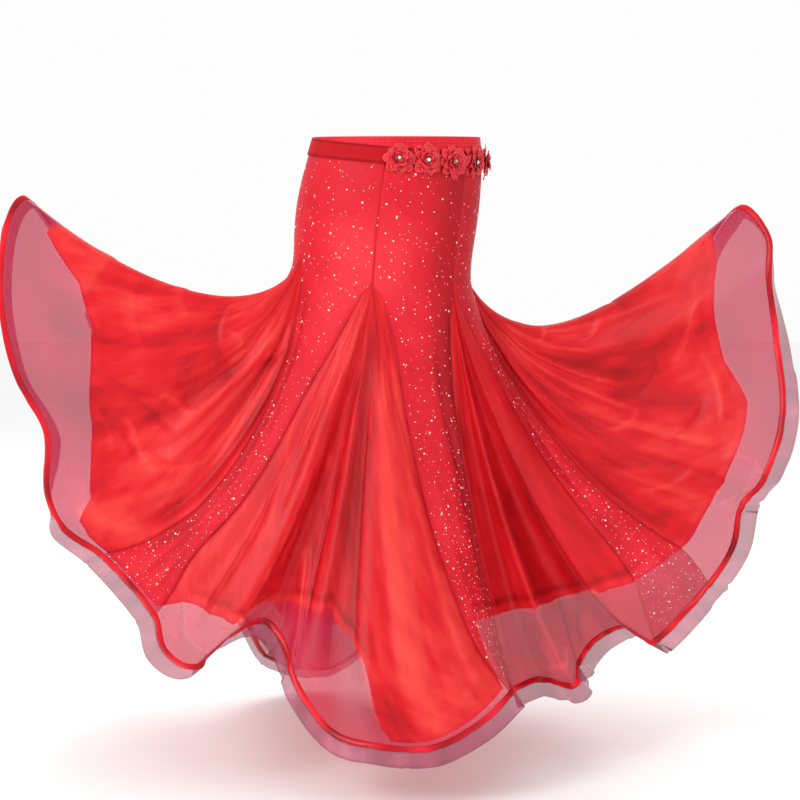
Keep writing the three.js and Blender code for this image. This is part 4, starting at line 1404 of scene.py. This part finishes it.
def dot_mesh(place, out, radius):
    """A fan of six faces above and six below a ring, for every dot at once."""
    side = unit(np.cross(out, np.array([0.0, 0.0, 1.0])) + 1e-4)
    other = np.cross(out, side)
    angle = np.linspace(0, 2 * np.pi, DOT_SIDES, endpoint=False)
    ring = np.cos(angle)[None, :, None] * side[:, None] + np.sin(angle)[None, :, None] * other[:, None]
    ring = place[:, None] + ring * radius[:, None, None]
    tall = 0.45 * radius[:, None]
    points = np.concatenate([ring, (place + out * tall)[:, None], (place - out * 0.2)[:, None]], axis=1)
    i = np.arange(DOT_SIDES)
    after = (i + 1) % DOT_SIDES
    top = np.stack([i, after, np.full(DOT_SIDES, DOT_SIDES)], axis=1)
    low = np.stack([after, i, np.full(DOT_SIDES, DOT_SIDES + 1)], axis=1)
    one = np.concatenate([top, low])
    faces = one[None] + (np.arange(len(place)) * (DOT_SIDES + 2))[:, None, None]
    return points.reshape(-1, 3), faces.reshape(-1, 3)


print("dot helper ready")


# %% Dots on the gores
def glitter_material():
    n = Nodes("gold_glitter")
    golds = [(0.0, srgb(248, 180, 156)), (0.4, srgb(255, 226, 200)), (1.0, srgb(255, 246, 234))]
    n.set(Base_Color=n.ramp(n.attribute("tone"), golds), Roughness=0.25, Coat_Weight=0.5)
    return n.material


glitter = glitter_material()
# spacing, keep, small, large, rare
DOT_KINDS = ((34.0, 0.8, 1.5, 2.3, 1), (17.0, 0.6, 0.8, 1.5, 2), (13.0, 0.35, 0.4, 0.8, 1))
rng = np.random.default_rng(5)
for k in range(STATIONS):
    name = "gore_" + GORES[k]
    spots, outs, sizes = [], [], []
    for cell, keep, small, large, rare in DOT_KINDS:
        row, column = scatter(name, cell, keep, rng)
        spots.append(between(cloth, row, column))
        outs.append(unit(between(cloth_out, row, column)))
        sizes.append(small + (large - small) * rng.random(len(row)) ** rare)
    out, radius = np.concatenate(outs), np.concatenate(sizes)
    place = np.concatenate(spots) + out * (KNIT_WALL / 2 + 0.05)
    points, faces = dot_mesh(place, out, radius)
    shade = np.repeat(rng.random(len(place)), DOT_SIDES + 2)
    dots = make_piece("dots_" + name, points, faces, glitter, values={"tone": shade})
    print(dots.name, len(place))

# %% [markdown]
# ## Waistband and belt band
# The waistband is elastic in a casing of the same knit, stitched through in rows, so it puckers
# between the rows. The belt band is stiff felt that slants round the hips and carries the flowers.
# Both could be sliced from the skirt's form, but they lie on the plain oval of the hips, so they
# are worked out from that.


# %% Bands round the hips
def hip_normal(turn, z):
    """Square to the hips: down them crossed with round them."""
    down = hip_point(turn, z - 1) - hip_point(turn, z + 1)
    around = hip_point(turn + 1, z) - hip_point(turn - 1, z)
    return unit(np.cross(down, around))


def ring_piece(name, points, out, thickness, material, light):
    """A closed tube of cloth: its rows go down, and its last column joins the first."""
    rows, columns = points.shape[:2]
    outer = (points + out * thickness / 2).reshape(-1, 3)
    inner = (points - out * thickness / 2).reshape(-1, 3)
    index = np.arange(rows * columns).reshape(rows, columns)
    after = np.roll(index, -1, axis=1)
    far = rows * columns
    quads = np.stack([index[:-1], index[1:], after[1:], after[:-1]], axis=-1).reshape(-1, 4)
    top = np.stack([index[0], after[0], after[0] + far, index[0] + far], axis=-1)
    end = np.stack([after[-1], index[-1], index[-1] + far, after[-1] + far], axis=-1)
    faces = np.concatenate([quads, quads[:, ::-1] + far, top, end])
    down = np.concatenate([[0], np.cumsum(np.linalg.norm(np.diff(points[:, 0], axis=0), axis=-1))])
    around = np.cumsum(np.linalg.norm(np.roll(points[0], -1, axis=0) - points[0], axis=-1))
    uv = np.stack(np.meshgrid(around, down), axis=-1).reshape(-1, 2) * MM
    facts = {"tone": np.tile(light.ravel(), 2), "sheer": np.zeros(2 * far)}
    return make_piece(name, np.concatenate([outer, inner]), faces, material, np.tile(uv, (2, 1)), facts)


BAND_COLUMNS, BAND_ROWS = 420, 26
BAND_TURNS = np.linspace(0, 360, BAND_COLUMNS, endpoint=False)
BAND_WALL = 1.6
STITCH_ROWS = (-6, -12, -18, -24)
rng = np.random.default_rng(3)
band_z = np.linspace(-0.5, -BAND_HEIGHT + 0.3, BAND_ROWS)[:, None]
pucker = slow_noise(BAND_COLUMNS, (61, 87, 104, 139), rng)[None, :]
stitched = sum(np.exp(-(((band_z - z) / 0.9) ** 2)) for z in STITCH_ROWS)
swell = 0.35 * pucker * np.abs(np.sin(np.pi * band_z / 6)) - 0.55 * stitched
turns = BAND_TURNS[None, :]
out = hip_normal(turns, band_z)
points = hip_point(turns, band_z) + out * (swell - 0.3)[..., None]
# Painted light where the casing puckers out and painted shade along the sunk stitched rows.
light = 0.15 * pucker - 0.3 * stitched
waistband = ring_piece("elastic_waistband", points, out, BAND_WALL, knit_double, light)
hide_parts("waistband")
print("waistband rows:", len(band_z))

# %% Belt band
BELT_HEIGHT, BELT_WALL = 28, 1.4
BELT_MIDDLE, BELT_SLANT, BELT_LOWEST = -27, 12, 65
BELT_TOP = -1
BELT_CLEAR = 1.6


def belt_middle(turn):
    return BELT_MIDDLE - BELT_SLANT * np.cos(np.radians(turn - BELT_LOWEST))


share = np.linspace(0, 1, 13)[:, None]
top = np.minimum(belt_middle(turns) + BELT_HEIGHT / 2, BELT_TOP)
bottom = belt_middle(turns) - BELT_HEIGHT / 2
z = top + share * (bottom - top)
out = hip_normal(turns, z)
edge_stitch = np.exp(-(((np.minimum(share, 1 - share) - 0.09) / 0.03) ** 2)) + 0 * z
points = hip_point(turns, z) + out * (BELT_CLEAR + BELT_WALL / 2)
points = points - out * 0.25 * edge_stitch[..., None]
# The colour is painted darker along the pressed-in edge stitching, as painted shade in the groove.
belt = ring_piece("felt_belt_band", points, out, BELT_WALL, felt, -0.6 * edge_stitch)
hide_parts("belt_band")
print("belt from", round(float(top.max())), "to", round(float(bottom.min())), "mm")

# %% [markdown]
# ## Flowers
# Each flower is made of small organza petals, cupped over heat and sewn on in four rings. A petal
# is a grid: `p` from its foot to its tip and `q` from side to side. It is widest past its middle,
# its sides turn up, and it is painted paler towards its tip and rim as a painted highlight and darker
# at its foot as painted shade, with a little chance tint. One petal could be copied all round, but
# real ones are never alike, so each gets its own chance numbers.

# %% Petals
PETAL_RINGS = table(("count", "foot", "length", "width", "lift", "seat"), [
    (8, 6.0, 23.5, 19.0, 1, 0.6),
    (8, 3.5, 20.0, 17.5, 14, 2.2),
    (7, 3.0, 15.5, 15.0, 34, 3.8),
    (4, 2.5, 10.0, 11.0, 58, 4.8),
])
PETAL_WALL = 0.35


def petal_grid(length, width, lift, rng):
    """x runs out from the flower's middle, y sideways and z away from the belt."""
    p, q = np.meshgrid(np.linspace(0, 1, 7), np.linspace(-1, 1, 8), indexing="ij")
    half = width / 2 * np.sin(np.pi * (0.12 + 0.66 * p**0.8))
    reach = length * p * (1 - 0.22 * q**2 * p)
    cup = 0.16 * width * q**2 * p * rng.uniform(0.4, 1.4)
    ruffle = 0.06 * length * p**2 * np.sin(rng.uniform(2.5, 4.5) * q + rng.uniform(0, 6.3))
    curl = -0.20 * length * p**3 * rng.uniform(0.2, 1.4)
    rise = cup + ruffle + curl
    tilt = np.radians(lift + rng.uniform(-9, 9))
    x = reach * np.cos(tilt) - rise * np.sin(tilt)
    z = reach * np.sin(tilt) + rise * np.cos(tilt)
    # Paler towards the tip and the side edges as a painted highlight, darker at the foot as painted
    # shade, with a chance tint for each petal.
    rim = 0.75 * p**1.5 + 0.25 * np.abs(q) ** 3 * p + rng.uniform(-0.12, 0.12)
    return np.stack([x, half * q, z], axis=-1), rim


def flower_parts(rng):
    """All petals of one flower, each a closed wall, in the flower's own frame."""
    corners, faces, petal_tint_and_painted_light, uvs, used = [], [], [], [], 0
    for i in range(len(PETAL_RINGS["count"])):
        count, foot, length, width, lift, seat = (PETAL_RINGS[key][i] for key in PETAL_RINGS)
        for j in range(int(count)):
            grid, rim = petal_grid(length * rng.uniform(0.88, 1.08), width, lift, rng)
            angle = 2 * np.pi * (j + 0.4 * i + rng.uniform(-0.14, 0.14)) / count
            grid = grid + np.array([foot, 0, seat])
            x, y = grid[..., 0].copy(), grid[..., 1].copy()
            grid[..., 0] = x * np.cos(angle) - y * np.sin(angle)
            grid[..., 1] = x * np.sin(angle) + y * np.cos(angle)
            across, down = np.gradient(grid, axis=1), np.gradient(grid, axis=0)
            wall, quads, _ = wall_mesh(grid, unit(np.cross(down, across)), PETAL_WALL)
            corners.append(wall)
            faces.append(quads + used)
            petal_tint_and_painted_light.append(np.tile(rim.ravel(), 2))
            uvs.append(np.tile(cloth_uv(grid), (2, 1)))
            used += len(wall)
    return [np.concatenate(parts) for parts in (corners, faces, petal_tint_and_painted_light, uvs)]


corners, faces, petal_tint_and_painted_light, uvs = flower_parts(np.random.default_rng(1))
print("faces in one flower:", len(faces))


# %% Petal material
def petal_material():
    n = Nodes("petal_organza")
    clouds = n.noise(n.cloth_map((160, 160, 1)), 1.0, 2.0)
    level = n.maths("ADD", n.attribute("tone"), n.swing(clouds, 0.6))
    # The dark stops serve as painted shade at the petals' feet, the pale pink one as a painted highlight
    # at their tips.
    stops = [(0.0, srgb(140, 0, 12)), (0.5, srgb(204, 4, 26)),
             (0.85, srgb(232, 22, 46)), (1.0, srgb(250, 104, 120))]
    veins = n.noise(n.cloth_map((900, 60, 1)), 1.0, 2.0)
    n.set(Base_Color=n.ramp(level, stops), Normal=n.bump(veins, 0.0005, 0.4), Roughness=0.45)
    n.set(Sheen_Weight=0.08)
    return n.material


petals = petal_material()
print("petal material ready")

# %% [markdown]
# The flowers sit side by side along the belt. Each has its own frame: out from the hips, sideways,
# and up the belt.

# %% Sew the flowers on
FLOWERS = 8
FLOWER_PITCH = 46
FIRST_TURN = 3
FLOWER_RISE = -4
BELT_FACE = BELT_CLEAR + BELT_WALL + 0.4


def turns_along_belt(count, pitch, first):
    """Even lengths along the belt, found on a fine list of turns."""
    fine = first + np.arange(0, 330, 0.25)
    steps = np.linalg.norm(np.diff(hip_point(fine, BELT_MIDDLE), axis=0), axis=-1)
    return np.interp(np.arange(count) * pitch, np.concatenate([[0], np.cumsum(steps)]), fine)


def flower_frame(turn):
    z = belt_middle(turn) + FLOWER_RISE
    out = hip_normal(np.array([turn]), np.array([z]))[0]
    side = unit(np.cross([0, 0, 1.0], out))
    foot = hip_point(np.array([turn]), np.array([z]))[0] + out * BELT_FACE
    return foot, np.stack([side, np.cross(out, side), out])


flower_turns = turns_along_belt(FLOWERS, FLOWER_PITCH, FIRST_TURN)
for i, turn in enumerate(flower_turns):
    foot, axes = flower_frame(turn)
    corners, faces, petal_tint_and_painted_light, uvs = flower_parts(np.random.default_rng(40 + i))
    piece = make_piece(f"petals_{i + 1}", foot + corners @ axes, faces, petals, uvs, {"tone": petal_tint_and_painted_light})
    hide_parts(f"flower_{i + 1}")

# %% [markdown]
# ## Rhinestones
# A cut glass stone with a foil back is nearly a mirror in facets, so it is made as polished metal
# under a clear coat, where real glass would look dark at this size. It sits in a small metal cup
# with four claws. Both are rings of corners turned about one axis.

# %% Stones
STONE_SEAT = 5.4
stone_rings = table(("radius", "height", "turned"), [
    (0, 0, 0),
    (4.5, 0, 0),
    (4.5, 0.9, 0),
    (3.7, 2.2, 0.5),
    (2.6, 3.2, 0),
    (0, 3.2, 0),
])
cup_rings = table(("radius", "height", "turned"), [
    (0, -0.9, 0),
    (4.0, -0.9, 0),
    (5.0, 0.2, 0),
    (4.9, 1.1, 0),
    (4.6, 1.1, 0),
    (4.6, -0.2, 0),
    (0, -0.2, 0),
])
CLAW_HEIGHT, CLAW_LEAN = 1.5, 0.7


def turned_mesh(rings, sides, claws=False):
    """Rings of corners, one for each row, joined by quads. A claw is where the rim stands higher
    and leans in."""
    angle = 2 * np.pi * (np.arange(sides)[None, :] + rings["turned"][:, None]) / sides
    radius = rings["radius"][:, None] + 0 * angle
    height = rings["height"][:, None] + 0 * angle
    if claws:
        claw = np.clip((np.cos(4 * angle) - 0.6) / 0.2, 0, 1) * (rings["height"][:, None] > 1)
        height, radius = height + CLAW_HEIGHT * claw, radius - CLAW_LEAN * claw
    points = np.stack([radius * np.cos(angle), radius * np.sin(angle), height], axis=-1)
    r, c = np.meshgrid(np.arange(len(points) - 1), np.arange(sides), indexing="ij")
    after = (c + 1) % sides
    here, above = r * sides, (r + 1) * sides
    faces = np.stack([here + c, here + after, above + after, above + c], axis=-1)
    return points.reshape(-1, 3), faces.reshape(-1, 4)


glass = Nodes("foiled_glass")
glass.set(Base_Color=(0.86, 0.80, 0.70, 1), Metallic=1.0, Roughness=0.05, Coat_Weight=1.0)
facets = glass.noise(glass.add("ShaderNodeTexCoord").outputs["Object"], 260, 0.0)
glass.set(Base_Color=glass.ramp(facets, [(0.35, srgb(176, 150, 128)), (0.6, srgb(252, 244, 232))]))
metal = Nodes("cup_metal")
metal.set(Base_Color=(0.42, 0.38, 0.36, 1), Metallic=1.0)
wear = metal.noise(metal.add("ShaderNodeTexCoord").outputs["Object"], 900, 2.0)
metal.set(Roughness=metal.maths("ADD", metal.maths("MULTIPLY", wear, 0.3), 0.15))
for i, turn in enumerate(flower_turns):
    foot, axes = flower_frame(turn)
    seat = foot + axes[2] * STONE_SEAT
    points, faces = turned_mesh(stone_rings, 8)
    stone = make_piece(f"cut_stone_{i + 1}", seat + points @ axes, faces, glass.material, smooth=0)
    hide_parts(f"rhinestone_{i + 1}")
    points, faces = turned_mesh(cup_rings, 48, claws=True)
    cup = make_piece(f"stone_cup_{i + 1}", seat + points @ axes, faces, metal.material)
print("stones:", len(flower_turns))
